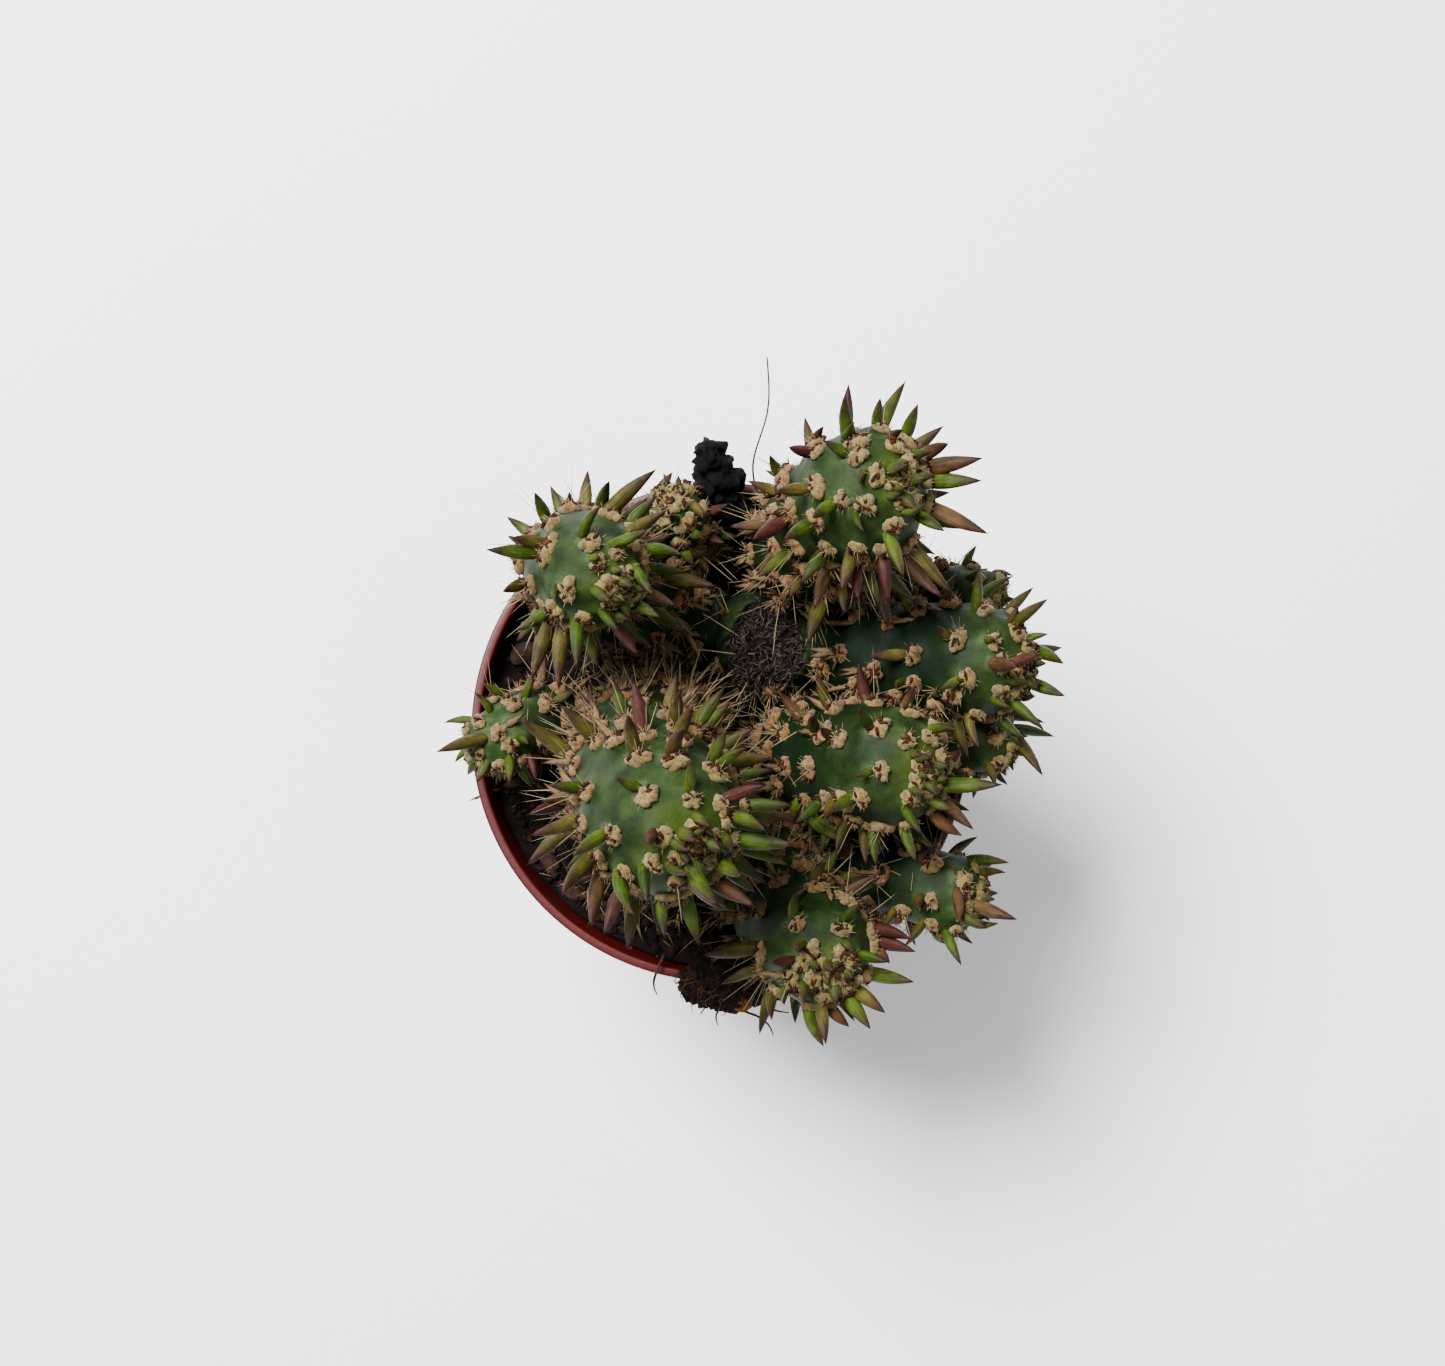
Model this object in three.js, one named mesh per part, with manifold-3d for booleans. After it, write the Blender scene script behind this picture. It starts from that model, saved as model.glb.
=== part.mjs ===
// A potted Eve's needle cactus: a cut-back main stem and its young shoots, in peat, in a nursery pot.
// Millimetres, +Z up. The origin is the middle of the pot's foot, on the surface that it stands on.
import * as THREE from "three";
import { mergeVertices } from "three/addons/utils/BufferGeometryUtils.js";
import Module from "manifold-3d";

const wasm = await Module();
wasm.setup();

// The pot
const RIM_RADIUS = 42.5;
const POT_HEIGHT = 75;
const FOOT_RADIUS = 29.5;
const WALL = 1.2;
const FLOOR = 1.6;
const COLLAR_HEIGHT = 13;
const COLLAR_STEP = 1.6;
const LIP_WIDTH = 1.6;
const LIP_HEIGHT = 1.8;
const LIP_PROUD = 0.8;
const POT_SIDES = 36;
const DRAIN_HOLES = 6;
const DRAIN_RADIUS = 3;
const DRAIN_CIRCLE = 19;

// The peat
const SOIL_LEVEL = 69;
const SOIL_GAP = 0.4;
const MOUND = { x: 3, y: -40, rise: 7.2, spread: 9 };
const SPILL = { x: 1.2, y: -42.3, length: 8.2, width: 4.5, height: 2.9 };
const SOIL_RINGS = [33, 24, 15, 7];
const SOIL_SIDES = 24;

// The cut-back main stem
const STUMP = { x: 7.3, y: 15.5, radius: 8.4, foot: 48, top: 87, lean: 0.03, sides: 10, areoles: 18 };

// A dead, blackened shoot that leans over the rim at the back: a cubic curve, and its radius along it
const STUB = {
  path: [[3.5, 34.9, 60], [3.4, 34.8, 74.5], [0.1, 38.6, 82], [-2.3, 48.2, 88.6]],
  radii: [2.1, 2.1, 2.1, 2.5, 3.1, 2.8, 3.6, 2.8, 1.8],
};
const TWIG = { foot: [1.4, 37.5, 78], aim: [0.3, 0.7, 0.66], length: 8, radius: 0.75 };

// One long dry root fibre that stands out of the peat over the back rim
const FIBRE = {
  path: [[7.4, 33.4, 66], [6.6, 38, 76], [5.6, 44.5, 84], [7.4, 52, 95], [7.2, 59.5, 104]],
  radius: 0.22,
  hole: 1.1,
};

// Chips of wood and grit that lie on the peat: place, half sizes and turn
const CHIPS = [
  { name: "wood_chip", x: 3.4, y: -44.4, half: [2.0, 2.8, 0.8], turn: 0.3 },
  { name: "grit_left", x: -34, y: 13.5, half: [2.6, 1.9, 1.5], turn: 0.6 },
  { name: "grit_front_left", x: -29.5, y: -22.5, half: [2.4, 1.6, 1.3], turn: 2.2 },
  { name: "grit_front", x: -26, y: -27.5, half: [2.8, 1.4, 1.1], turn: 2.5 },
];

// The shoots: a cubic curve from each root to its growing tip, the width of the grown stem,
// and how far down it keeps leaves below the tip's dome
const SHOOTS = [
  { name: "shoot_front", radius: 11.4, sides: 13, turn: 0.4, leafy: 15,
    path: [[-6, 1.5, 60], [-12, 1, 82], [-17, -7, 104], [-4.2, -15, 127]] },
  { name: "shoot_left", radius: 8.3, sides: 12, turn: 1.1, leafy: 14,
    path: [[1, 19, 79], [-14, 20, 75], [-33.5, 33, 104], [-14.8, 23, 118]] },
  { name: "shoot_back_right", radius: 9.8, sides: 12, turn: 2.0, leafy: 14,
    path: [[11, 21, 76], [15, 28, 78], [15, 37, 104], [26.8, 38.8, 119]] },
  { name: "shoot_right", radius: 8.4, sides: 12, turn: 0.2, leafy: 11,
    path: [[13, 14, 78], [25, 13, 85], [36, 13, 91], [48.3, 11.4, 99]] },
  { name: "shoot_front_right", radius: 9.0, sides: 12, turn: 3.1, leafy: 14,
    path: [[13, -1.5, 60], [11, -3.5, 82], [22, -5, 94], [31.6, -4.6, 108]] },
  { name: "shoot_fore", radius: 8.7, sides: 12, turn: 4.0, leafy: 12,
    path: [[3, -15, 60], [5, -21, 78], [13, -32, 86], [17.8, -37, 102]] },
  { name: "offset_fore_right", radius: 6.3, sides: 10, turn: 5.2, leafy: 9,
    path: [[20, -18.5, 60], [22.5, -21, 82], [32, -25.5, 85], [42.3, -27.2, 89]] },
  { name: "offset_left", radius: 5.0, sides: 10, turn: 0.9, leafy: 8,
    path: [[-27, 3, 60], [-26.5, 3.5, 83], [-36, 3.5, 87], [-38.8, -5, 84]] },
  { name: "offset_back", radius: 4.5, sides: 8, turn: 2.6, leafy: 8,
    path: [[-4.6, 32.4, 60], [-5, 32.8, 80], [-6.9, 34.8, 86], [-8.6, 38, 91]] },
  { name: "offset_back_right", radius: 3.5, sides: 8, turn: 1.7, leafy: 6,
    path: [[25.8, 22.8, 60], [25.8, 24.2, 88], [36, 25.6, 83], [46.2, 22.6, 85]] },
  { name: "offset_right", radius: 4.9, sides: 10, turn: 3.7, leafy: 8,
    path: [[26, 1, 60], [27, 1.8, 80], [38, 1.6, 82], [48, -3.2, 84.5]] },
];

// Side shoots that grow from the main stem. The others stand in the peat.
const ATTACHED = ["shoot_left", "shoot_back_right", "shoot_right"];

const TIP_HEIGHT = 0.9; // of the radius
const NECK = 0.6; // width of a shoot at its joint, as a share of its grown width
const NECK_LENGTH = 1.5; // of the radius
const NECK_START = 0.6; // share of the hidden length that is as narrow as the joint
const BURIED = 13; // length of a rooted shoot that is in the peat
const JOINED = 5; // length of a side shoot that is in the main stem
const RING_STEP = 4.8;
const CLEARANCE = 0.45; // between a stem and what it stands in
const ROOM = 0.7; // round a leaf or a spine

// Areoles in a spiral from the tip down, each on a low tubercle
const GOLDEN_ANGLE = THREE.MathUtils.degToRad(137.508);
const YOUNG_GAP = 2.6;
const GROWN_GAP = 5.6;
const AREA_SHARE = 0.87; // of the gap's square, for each areole
const GROWING = 17; // areoles from the tip until the full gap
const TUBERCLE = 0.15; // rise, as a share of the gap
const TUBERCLE_WIDTH = 0.44; // also of the gap
const CUSHION_RADIUS = 1.75;
const CUSHION_RISE = 1.1;
const CUSHION_SIDES = 4;
const WOOL_EVERY = 4; // areoles
const BUD = 2; // areoles at the very tip that are still one bud

// Awl-shaped leaves below the areoles of the young growth
const LEAF_LENGTH = 2.4; // with LEAF_GAIN for each millimetre of the shoot's radius
const LEAF_GAIN = 0.55;
const LEAF_ROOT = 2.2;
const LEAST_RISE = 0.35; // of a leaf away from the skin, for each unit of its length
const LONGEST_LEAF = 10.5;
const LEAF_SLANT = 1.04;
const LEAF_GROWING = 9; // areoles from the tip until the full length
const LEAF_SIDES = 4;
const FULL_LEAF = 5; // below the dome every leaf is there until this far down
const KEPT = 0.16; // share of the leaves that are left further down

// Spines of the old areoles
const SPINE_LENGTH = 8.5;
const SPINE_RADIUS = 0.17;
const SPINE_SIDES = 3;

// The photograph's view: its middle and scale in pixels, and where the camera stands
const VIEW_MIDDLE = [722.5, 683];
const VIEW_SCALE = 2235.16;
const CAMERA_PLACE = new THREE.Vector3(0.3, 8.4, 455);

// Areoles that the photograph shows, by the pixel where each is, and where a leaf stands below it also
// the pixel of the leaf's tip
const SEEN = {
  shoot_back_right: [
    [858, 443, 835, 391], [853, 445, 845, 417], [880, 432, 880, 397], [893, 446, 899, 421],
    [908, 441, 918, 403], [926, 455, 955, 436], [908, 460, 932, 451], [937, 464, 980, 459],
    [928, 480, 979, 480], [935, 505, 992, 538], [912, 507, 945, 532], [890, 527, 907, 575],
    [862, 506, 856, 535], [843, 500, 803, 520], [818, 486, 772, 492], [796, 513, 745, 545],
    [785, 472, 762, 455], [822, 452, 782, 449], [817, 446, 819, 420], [855, 458, 826, 440],
    [872, 474, 852, 479], [857, 545, 844, 590], [925, 552, 957, 605], [910, 560, 938, 605],
    [795, 508, 770, 514], [888, 577, 888, 628], [825, 588, 807, 645], [830, 545], [793, 580],
    [775, 570], [858, 610], [868, 600],
  ],
  shoot_fore: [
    [798, 925, 793, 890], [815, 890, 825, 857], [765, 952, 703, 955], [840, 928, 861, 906],
    [868, 935, 917, 931], [872, 945, 919, 949], [878, 950, 897, 961], [852, 958, 888, 962],
    [865, 975, 915, 982], [850, 985, 888, 1015], [843, 990, 872, 1032], [828, 1003, 850, 1034],
    [812, 1003, 816, 1056], [793, 985, 777, 1006], [778, 992, 755, 1027], [770, 1000, 763, 1022],
    [790, 975], [808, 950], [800, 962], [845, 978, 858, 986], [830, 985, 838, 998],
  ],
  shoot_front_right: [
    [838, 700, 801, 664], [843, 740, 812, 727], [878, 730, 850, 706], [880, 770, 859, 777],
    [862, 795, 822, 812], [908, 715, 915, 684], [938, 735, 957, 716], [938, 782, 1003, 785],
    [908, 800, 919, 837], [935, 808, 960, 848], [945, 800, 973, 826], [958, 765, 965, 745],
    [962, 705, 935, 722], [813, 808, 840, 854], [905, 740, 909, 735], [915, 758, 921, 755],
    [940, 757, 947, 753], [857, 815], [872, 825], [880, 840], [875, 700], [812, 768], [795, 698],
  ],
  shoot_right: [
    [1015, 632, 1048, 598], [1013, 630, 1021, 607], [1038, 652, 1073, 657], [1016, 663, 1038, 655],
    [1035, 680, 1066, 697], [1025, 695, 1036, 703], [992, 643, 997, 640], [960, 640, 931, 626],
    [915, 655, 871, 657], [968, 678, 942, 691], [998, 693, 1005, 712], [842, 653],
  ],
  offset_right: [
    [1012, 705, 1037, 733], [1040, 730, 1055, 732], [1020, 740, 1039, 778], [993, 763, 1000, 785],
  ],
  offset_back_right: [
    [975, 580, 975, 568], [983, 607, 979, 576], [998, 578, 1009, 567], [995, 592, 1004, 582],
    [1000, 600, 1015, 595], [993, 606], [978, 607],
  ],
  offset_fore_right: [
    [972, 866, 1009, 858], [985, 880, 1004, 861], [975, 903, 1017, 920], [975, 918, 997, 932],
    [953, 928, 961, 966], [942, 932, 942, 945], [962, 893, 964, 925], [930, 865, 922, 845],
    [905, 910, 858, 928], [960, 880], [932, 900],
  ],
  offset_left: [
    [480, 747, 437, 748], [478, 764, 467, 775], [495, 700, 482, 682], [482, 722], [500, 732],
    [510, 745],
  ],
  shoot_left: [
    [555, 527, 532, 490], [553, 548, 509, 536], [548, 556, 489, 551], [535, 583, 496, 591],
    [572, 512, 570, 494], [590, 543, 590, 497], [610, 520, 653, 462], [613, 493, 603, 472],
    [615, 552, 650, 535], [640, 556, 688, 543], [675, 552, 727, 553], [655, 575, 715, 585],
    [630, 570, 650, 600], [567, 588, 546, 601], [583, 615, 582, 668], [548, 605, 526, 640],
    [545, 630, 527, 682], [560, 645, 547, 693], [605, 605, 619, 632], [635, 600, 689, 635],
    [628, 617, 660, 652], [597, 563, 602, 559], [605, 640], [640, 523], [700, 600], [667, 670],
    [640, 655], [720, 655], [575, 685],
  ],
  offset_back: [
    [645, 520, 670, 500], [655, 490, 680, 482], [685, 502, 710, 518], [725, 515, 738, 503],
    [672, 512], [690, 487], [735, 556],
  ],
  shoot_front: [
    [640, 760, 623, 708], [675, 733, 679, 686], [600, 745, 562, 707], [550, 758, 520, 713],
    [645, 795, 613, 775], [592, 793, 550, 787], [690, 798, 692, 760], [710, 770, 727, 728],
    [720, 718, 722, 697], [733, 765, 776, 748], [615, 835, 568, 855], [572, 828, 522, 862],
    [568, 806, 525, 813], [603, 857, 548, 892], [650, 862, 647, 905], [626, 870, 621, 924],
    [605, 872, 583, 930], [690, 857, 712, 918], [712, 858, 749, 882], [725, 820, 775, 822],
    [730, 840, 792, 846], [715, 885, 757, 908], [768, 903], [660, 835], [675, 880], [665, 900],
    [755, 853], [770, 860], [715, 775], [720, 805], [625, 700], [640, 705], [575, 690],
  ],
};
const FIRST_SEEN = 100; // their numbers start here
const SEAT_ABOVE = 1.5; // a leaf's foot is this far below the wool
const SPARE = 0.66; // other areoles keep this share of the gap from them,
const SMOOTH_SIDE = new THREE.Vector3(-0.5, 0.5, 0.7).normalize(); // and more on the side that has few
const SMOOTH_SPARE = 0.24;

// Colours and how rough the surfaces are
const material = (color, roughness) => new THREE.MeshStandardMaterial({ color, roughness, metalness: 0 });
const POT_PLASTIC = material(0x6e2a22, 0.45);
const PEAT = material(0x1c1512, 0.95);
const SKIN = material(0x4c6b46, 0.6);
const OLD_SKIN = material(0x4a4a3a, 0.85);
const DEAD = material(0x171214, 0.9);
const WOOD = material(0xb98a5a, 0.8);
const GRIT = material(0x7d6660, 0.85);
const DRY_FIBRE = material(0x8c877c, 0.7);

const UP = new THREE.Vector3(0, 0, 1);
const vector = (p) => new THREE.Vector3(...p);

// A repeatable number from 0 to 1 for the i-th piece of a shoot, a new one for each kind of choice.
function chance(seed, i, kind) {
  const wave = Math.sin(seed * 127.1 + i * 311.7 + kind * 74.7) * 43758.5453;
  return wave - Math.floor(wave);
}

// A closed geometry as a solid that can be joined and cut.
function solidOf(geometry) {
  const bare = new THREE.BufferGeometry();
  bare.setAttribute("position", geometry.getAttribute("position"));
  bare.setIndex(geometry.index);
  const merged = mergeVertices(bare, 1e-4);
  return new wasm.Manifold(
    new wasm.Mesh({
      numProp: 3,
      vertProperties: new Float32Array(merged.attributes.position.array),
      triVerts: new Uint32Array(merged.index.array),
    }),
  );
}

function meshOf(name, solid, material) {
  const made = solid.getMesh();
  const geometry = new THREE.BufferGeometry();
  geometry.setAttribute("position", new THREE.BufferAttribute(new Float32Array(made.vertProperties), 3));
  geometry.setIndex(new THREE.BufferAttribute(new Uint32Array(made.triVerts), 1));
  geometry.computeVertexNormals();
  const mesh = new THREE.Mesh(geometry, material);
  mesh.name = name;
  return mesh;
}

function joined(solids) {
  return solids.reduce((whole, piece) => whole.add(piece));
}

// A lathed profile of [radius, height] points, with its axis upright.
function turned(points, sides) {
  const profile = points.map(([r, h]) => new THREE.Vector2(r, h));
  return new THREE.LatheGeometry(profile, sides).rotateX(Math.PI / 2);
}

// Moves every vertex of a geometry by a function of its place.
function reshape(geometry, move) {
  const position = geometry.getAttribute("position");
  const p = new THREE.Vector3();
  for (let i = 0; i < position.count; i++) {
    p.fromBufferAttribute(position, i);
    move(p);
    position.setXYZ(i, p.x, p.y, p.z);
  }
  return geometry;
}

// The centreline of a shoot, with a side direction carried along it without twist.
function centreline(path) {
  const curve = new THREE.CubicBezierCurve3(...path.map(vector));
  const steps = 48;
  const tangents = [];
  const sides = [];
  const side = new THREE.Vector3();
  for (let i = 0; i <= steps; i++) {
    tangents.push(curve.getTangentAt(i / steps).normalize());
    if (i === 0) side.crossVectors(tangents[0], new THREE.Vector3(1, 0, 0)).normalize();
    else side.applyQuaternion(new THREE.Quaternion().setFromUnitVectors(tangents[i - 1], tangents[i]));
    sides.push(side.clone());
  }
  const length = curve.getLength();
  return {
    length,
    at(s) {
      const u = THREE.MathUtils.clamp(s / length, 0, 1);
      const i = Math.min(Math.floor(u * steps), steps - 1);
      const between = u * steps - i;
      const tangent = tangents[i].clone().lerp(tangents[i + 1], between).normalize();
      const across = sides[i].clone().lerp(sides[i + 1], between);
      across.addScaledVector(tangent, -across.dot(tangent)).normalize();
      return { point: curve.getPointAt(u), tangent, across, over: tangent.clone().cross(across) };
    },
  };
}

// A shoot's sizes: its centreline, the height of the tip's dome and the length of skin over it, the gap
// between its grown areoles, the skin's length from the tip to the root, and how much of it is hidden.
function measured(shoot) {
  const line = centreline(shoot.path);
  const hidden = ATTACHED.includes(shoot.name) ? JOINED : BURIED;
  const dome = shoot.radius * TIP_HEIGHT;
  const domeSurface = (Math.PI / 2) * (shoot.radius + dome) * 0.5;
  const gap = GROWN_GAP * Math.min(1, 0.5 + 0.06 * shoot.radius);
  return { ...shoot, hidden, line, dome, domeSurface, gap, surface: domeSurface + line.length - dome };
}

// The smooth surface of a shoot, by the distance down from the tip and the angle round the stem.
function surfaceAt(shoot, down, angle) {
  const onDome = Math.min(down / shoot.domeSurface, 1) * (Math.PI / 2);
  const below = Math.max(0, down - shoot.domeSurface);
  const s = shoot.line.length - shoot.dome + shoot.dome * Math.cos(onDome) - below;
  const frame = shoot.line.at(s);
  const outward = frame.across.clone().multiplyScalar(Math.cos(angle));
  outward.addScaledVector(frame.over, Math.sin(angle));
  const neckStart = NECK_START * shoot.hidden;
  const pastNeck = THREE.MathUtils.smoothstep(s, neckStart, neckStart + NECK_LENGTH * shoot.radius);
  const radius = shoot.radius * (NECK + (1 - NECK) * pastNeck) * Math.sin(onDome);
  const normal = outward.clone().multiplyScalar(Math.sin(onDome));
  normal.addScaledVector(frame.tangent, Math.cos(onDome));
  const tipward = frame.tangent.clone().multiplyScalar(Math.sin(onDome));
  tipward.addScaledVector(outward, -Math.cos(onDome));
  return { point: frame.point.addScaledVector(outward, radius), normal, tipward, radius, s };
}

// How far from a pixel a place of the skin shows in the photograph. It's far off where it faces away.
function missed(shoot, down, angle, [px, py]) {
  const { point, normal } = surfaceAt(shoot, down, angle);
  const scale = VIEW_SCALE / (CAMERA_PLACE.z - point.z);
  const across = VIEW_MIDDLE[0] + (point.x - CAMERA_PLACE.x) * scale;
  const up = VIEW_MIDDLE[1] - (point.y - CAMERA_PLACE.y) * scale;
  const facing = CAMERA_PLACE.clone().sub(point).dot(normal) > 0;
  return { away: Math.hypot(across - px, up - py) + (facing ? 0 : 1000), height: point.z };
}

// The place on the skin that shows nearest to a pixel: the higher one where two lie in line.
function placeShownAt(shoot, pixel) {
  let best = { score: Infinity };
  for (let down = 0.2; down < shoot.surface - shoot.hidden; down += 0.5)
    for (let degrees = 0; degrees < 360; degrees += 4) {
      const angle = THREE.MathUtils.degToRad(degrees);
      const { away, height } = missed(shoot, down, angle, pixel);
      if (away - 0.15 * height < best.score) best = { score: away - 0.15 * height, down, angle };
    }
  for (const step of [0.25, 0.12, 0.06]) {
    const from = best;
    best = { score: Infinity };
    for (let i = -2; i <= 2; i++)
      for (let j = -2; j <= 2; j++) {
        const down = Math.max(0.1, from.down + i * step);
        const angle = from.angle + (j * step) / shoot.radius;
        const { away } = missed(shoot, down, angle, pixel);
        if (away < best.score) best = { score: away, down, angle };
      }
  }
  return best;
}

// The areoles that the photograph shows on a shoot, with the pixel of the leaf's tip where it has one.
function seenAreolesOf(shoot) {
  return SEEN[shoot.name].map(([x, y, ...tip], k) => {
    const { down, angle } = placeShownAt(shoot, [x, y]);
    const gap = YOUNG_GAP + (shoot.gap - YOUNG_GAP) * Math.min(1, down / shoot.domeSurface);
    const below = SEAT_ABOVE * Math.min(1, gap / GROWN_GAP);
    return { i: FIRST_SEEN + k, down: down + below, gap, angle, tip: tip.length ? tip : null };
  });
}

// Where the other areoles of a shoot sit: each takes its own area of the skin, in a spiral of the golden
// angle, and the places near the seen ones stay free.
function areolesOf(shoot) {
  const areoles = seenAreolesOf(shoot);
  const seen = areoles.map((a) => surfaceAt(shoot, a.down, a.angle).point);
  const r = shoot.radius;
  const domeArea = 2 * Math.PI * r * shoot.dome;
  let area = 0;
  for (let i = 0; ; i++) {
    const gap = YOUNG_GAP + (shoot.gap - YOUNG_GAP) * Math.min(1, i / GROWING);
    area += AREA_SHARE * gap * gap;
    const down =
      area < domeArea
        ? (Math.acos(1 - area / domeArea) / (Math.PI / 2)) * shoot.domeSurface
        : shoot.domeSurface + (area - domeArea) / (2 * Math.PI * r);
    if (down > shoot.surface - shoot.hidden - 1) return areoles;
    const angle = shoot.turn + i * GOLDEN_ANGLE;
    const { point, normal } = surfaceAt(shoot, down, angle);
    const needed = gap * (SPARE + SMOOTH_SPARE * Math.max(0, normal.dot(SMOOTH_SIDE)));
    if (seen.every((other) => other.distanceTo(point) > needed)) areoles.push({ i, down, gap, angle });
  }
}

// How far the skin rises over the tubercles at a place.
function tubercleRise(shoot, down, angle, radius) {
  let rise = 0;
  for (const a of shoot.areoles) {
    if (Math.abs(a.down - down) > a.gap) continue;
    const turnBetween = Math.atan2(Math.sin(angle - a.angle), Math.cos(angle - a.angle));
    const apart = Math.hypot(a.down - down, radius * turnBetween);
    rise = Math.max(rise, TUBERCLE * a.gap * Math.exp(-((apart / (TUBERCLE_WIDTH * a.gap)) ** 2)));
  }
  return rise;
}

// The skin of a shoot, closed at the tip and the root. grow makes it wider, for the hole it stands in.
function bodyOf(shoot, grow = 0) {
  const shown = shoot.surface - shoot.hidden - shoot.domeSurface;
  const rings = Math.round(shown / RING_STEP);
  const downs = [0.34, 0.68, 1].map((share) => share * shoot.domeSurface);
  for (let i = 1; i <= rings; i++) downs.push(shoot.domeSurface + (i / rings) * shown);
  downs.push(shoot.surface);
  const profile = [[0, -shoot.surface], ...downs.reverse().map((d) => [1, -d]), [0, 0]];
  const root = shoot.line.at(0);
  return reshape(turned(profile, shoot.sides), (p) => {
    const down = -p.z;
    const onAxis = Math.hypot(p.x, p.y) < 0.5;
    const angle = Math.atan2(p.y, p.x);
    const place = surfaceAt(shoot, onAxis ? 0 : down, angle);
    const rise = onAxis ? 0 : tubercleRise(shoot, down, angle, place.radius);
    if (onAxis && down > 1) p.copy(root.point);
    else p.copy(place.point).addScaledVector(place.normal, rise + grow);
    if (down > shoot.surface - 0.1) p.addScaledVector(root.tangent, -grow);
  });
}

// Turns a geometry that stands on +Z to point along a direction, and puts it at a place.
function aimed(geometry, direction, place) {
  const turn = new THREE.Quaternion().setFromUnitVectors(UP, direction);
  return geometry.applyQuaternion(turn).translate(place.x, place.y, place.z);
}

function leafHalf(length) {
  return 0.45 + 0.105 * length;
}

function leaf(place, direction, length) {
  const half = leafHalf(length);
  const profile = [[0, -LEAF_ROOT], [0.6 * half, -LEAF_ROOT], [half, 0.38 * length], [0, length]];
  return solidOf(aimed(turned(profile, LEAF_SIDES), direction, place));
}

function cushion(place, normal, size) {
  const profile = [[0, -0.7], [CUSHION_RADIUS * size, -0.7], [0, CUSHION_RISE * size]];
  return solidOf(aimed(turned(profile, CUSHION_SIDES), normal, place));
}

function spine(place, direction, length) {
  const profile = [[0, -1], [SPINE_RADIUS, -1], [0, length]];
  return solidOf(aimed(turned(profile, SPINE_SIDES), direction, place));
}

// The height of the peat, with its crumbs and the heap at the front.
function soilHeight(x, y) {
  const broad = 0.55 * Math.sin(0.55 * x + 0.9) * Math.cos(0.48 * y - 0.4);
  const fine = 0.35 * Math.sin(0.9 * y + 0.35 * x + 2);
  const fromMound = (x - MOUND.x) ** 2 + (y - MOUND.y) ** 2;
  return SOIL_LEVEL + broad + fine + MOUND.rise * Math.exp(-fromMound / (2 * MOUND.spread ** 2));
}

// The radius of the pot's inner face at a height: the plain wall, then a ledge, then the collar.
const WALL_TOP = POT_HEIGHT - COLLAR_HEIGHT;
const WALL_TOP_RADIUS = RIM_RADIUS - LIP_WIDTH - COLLAR_STEP;
const LEDGE_FOOT = WALL_TOP - 0.6;
const LEDGE_TOP = WALL_TOP + 1;

function potInner(z) {
  const onWall = FOOT_RADIUS - WALL + (WALL_TOP_RADIUS - FOOT_RADIUS) * (z / WALL_TOP);
  const collarFoot = WALL_TOP_RADIUS + COLLAR_STEP - WALL;
  const collarSlope = (RIM_RADIUS - LIP_WIDTH - collarFoot) / COLLAR_HEIGHT;
  return z < WALL_TOP ? onWall : collarFoot + collarSlope * (z - WALL_TOP);
}

// What a leaf or a spine stays clear of: balls along every body, and the leaves and spines before it.
const balls = [];
const placed = [];

function hitsPotOrPeat(p, spare) {
  const out = Math.hypot(p.x, p.y);
  if (out > RIM_RADIUS + spare) return false;
  const overRim = out > potInner(POT_HEIGHT) - spare;
  return p.z < (overRim ? POT_HEIGHT : soilHeight(p.x, p.y)) + spare;
}

function hitsOther(owner, p, spare) {
  return balls.some((ball) => ball.owner !== owner && p.distanceTo(ball.point) < ball.radius + spare);
}

const ALONG = [0, 0.2, 0.4, 0.6, 0.8, 1];

function crosses(from, direction, length, spare, other) {
  const p = new THREE.Vector3();
  const q = new THREE.Vector3();
  for (const a of ALONG)
    for (const b of ALONG) {
      p.copy(from).addScaledVector(direction, a * length);
      q.copy(other.from).addScaledVector(other.direction, b * other.length);
      if (p.distanceTo(q) < spare + other.thickness) return true;
    }
  return false;
}

function isClear(owner, from, direction, length, thickness) {
  for (const share of ALONG.slice(1)) {
    const p = from.clone().addScaledVector(direction, share * length);
    if (hitsPotOrPeat(p, thickness + ROOM) || hitsOther(owner, p, thickness + 2 * ROOM)) return false;
  }
  const others = placed.filter((other) => other.owner !== owner);
  return !others.some((other) => crosses(from, direction, length, thickness + ROOM, other));
}

// Bends a piece clear of what is round it: towards the tip, to a side, and shorter. Null where no way
// is free.
const BENDS = [
  [0, 0, 1], [0.35, 0, 1], [-0.3, 0, 1], [0, 0.4, 1], [0, -0.4, 1],
  [0.5, 0.4, 0.85], [0.5, -0.4, 0.85], [0.3, 0, 0.65],
];

function fitted(owner, from, wanted, tipward, fullLength, thickness) {
  const aside = wanted.clone().cross(tipward).normalize();
  for (const [lift, sideways, share] of BENDS) {
    const direction = wanted.clone().addScaledVector(tipward, lift).addScaledVector(aside, sideways);
    direction.normalize();
    const length = fullLength * share;
    if (!isClear(owner, from, direction, length, thickness)) continue;
    placed.push({ owner, from, direction, length, thickness });
    return { direction, length };
  }
  return null;
}

// How long the leaf at an areole is, or 0 where it has dropped.
function leafLength(shoot, a) {
  const below = a.down - shoot.domeSurface;
  const kept = below < FULL_LEAF || (below < shoot.leafy && chance(shoot.turn, a.i, 10) < KEPT);
  if (a.i >= FIRST_SEEN || a.i < BUD || !kept) return 0;
  const grown = Math.min(1, 0.45 + (0.55 * a.i) / LEAF_GROWING);
  return (LEAF_LENGTH + LEAF_GAIN * shoot.radius) * grown * (0.86 + 0.32 * chance(shoot.turn, a.i, 2));
}

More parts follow.
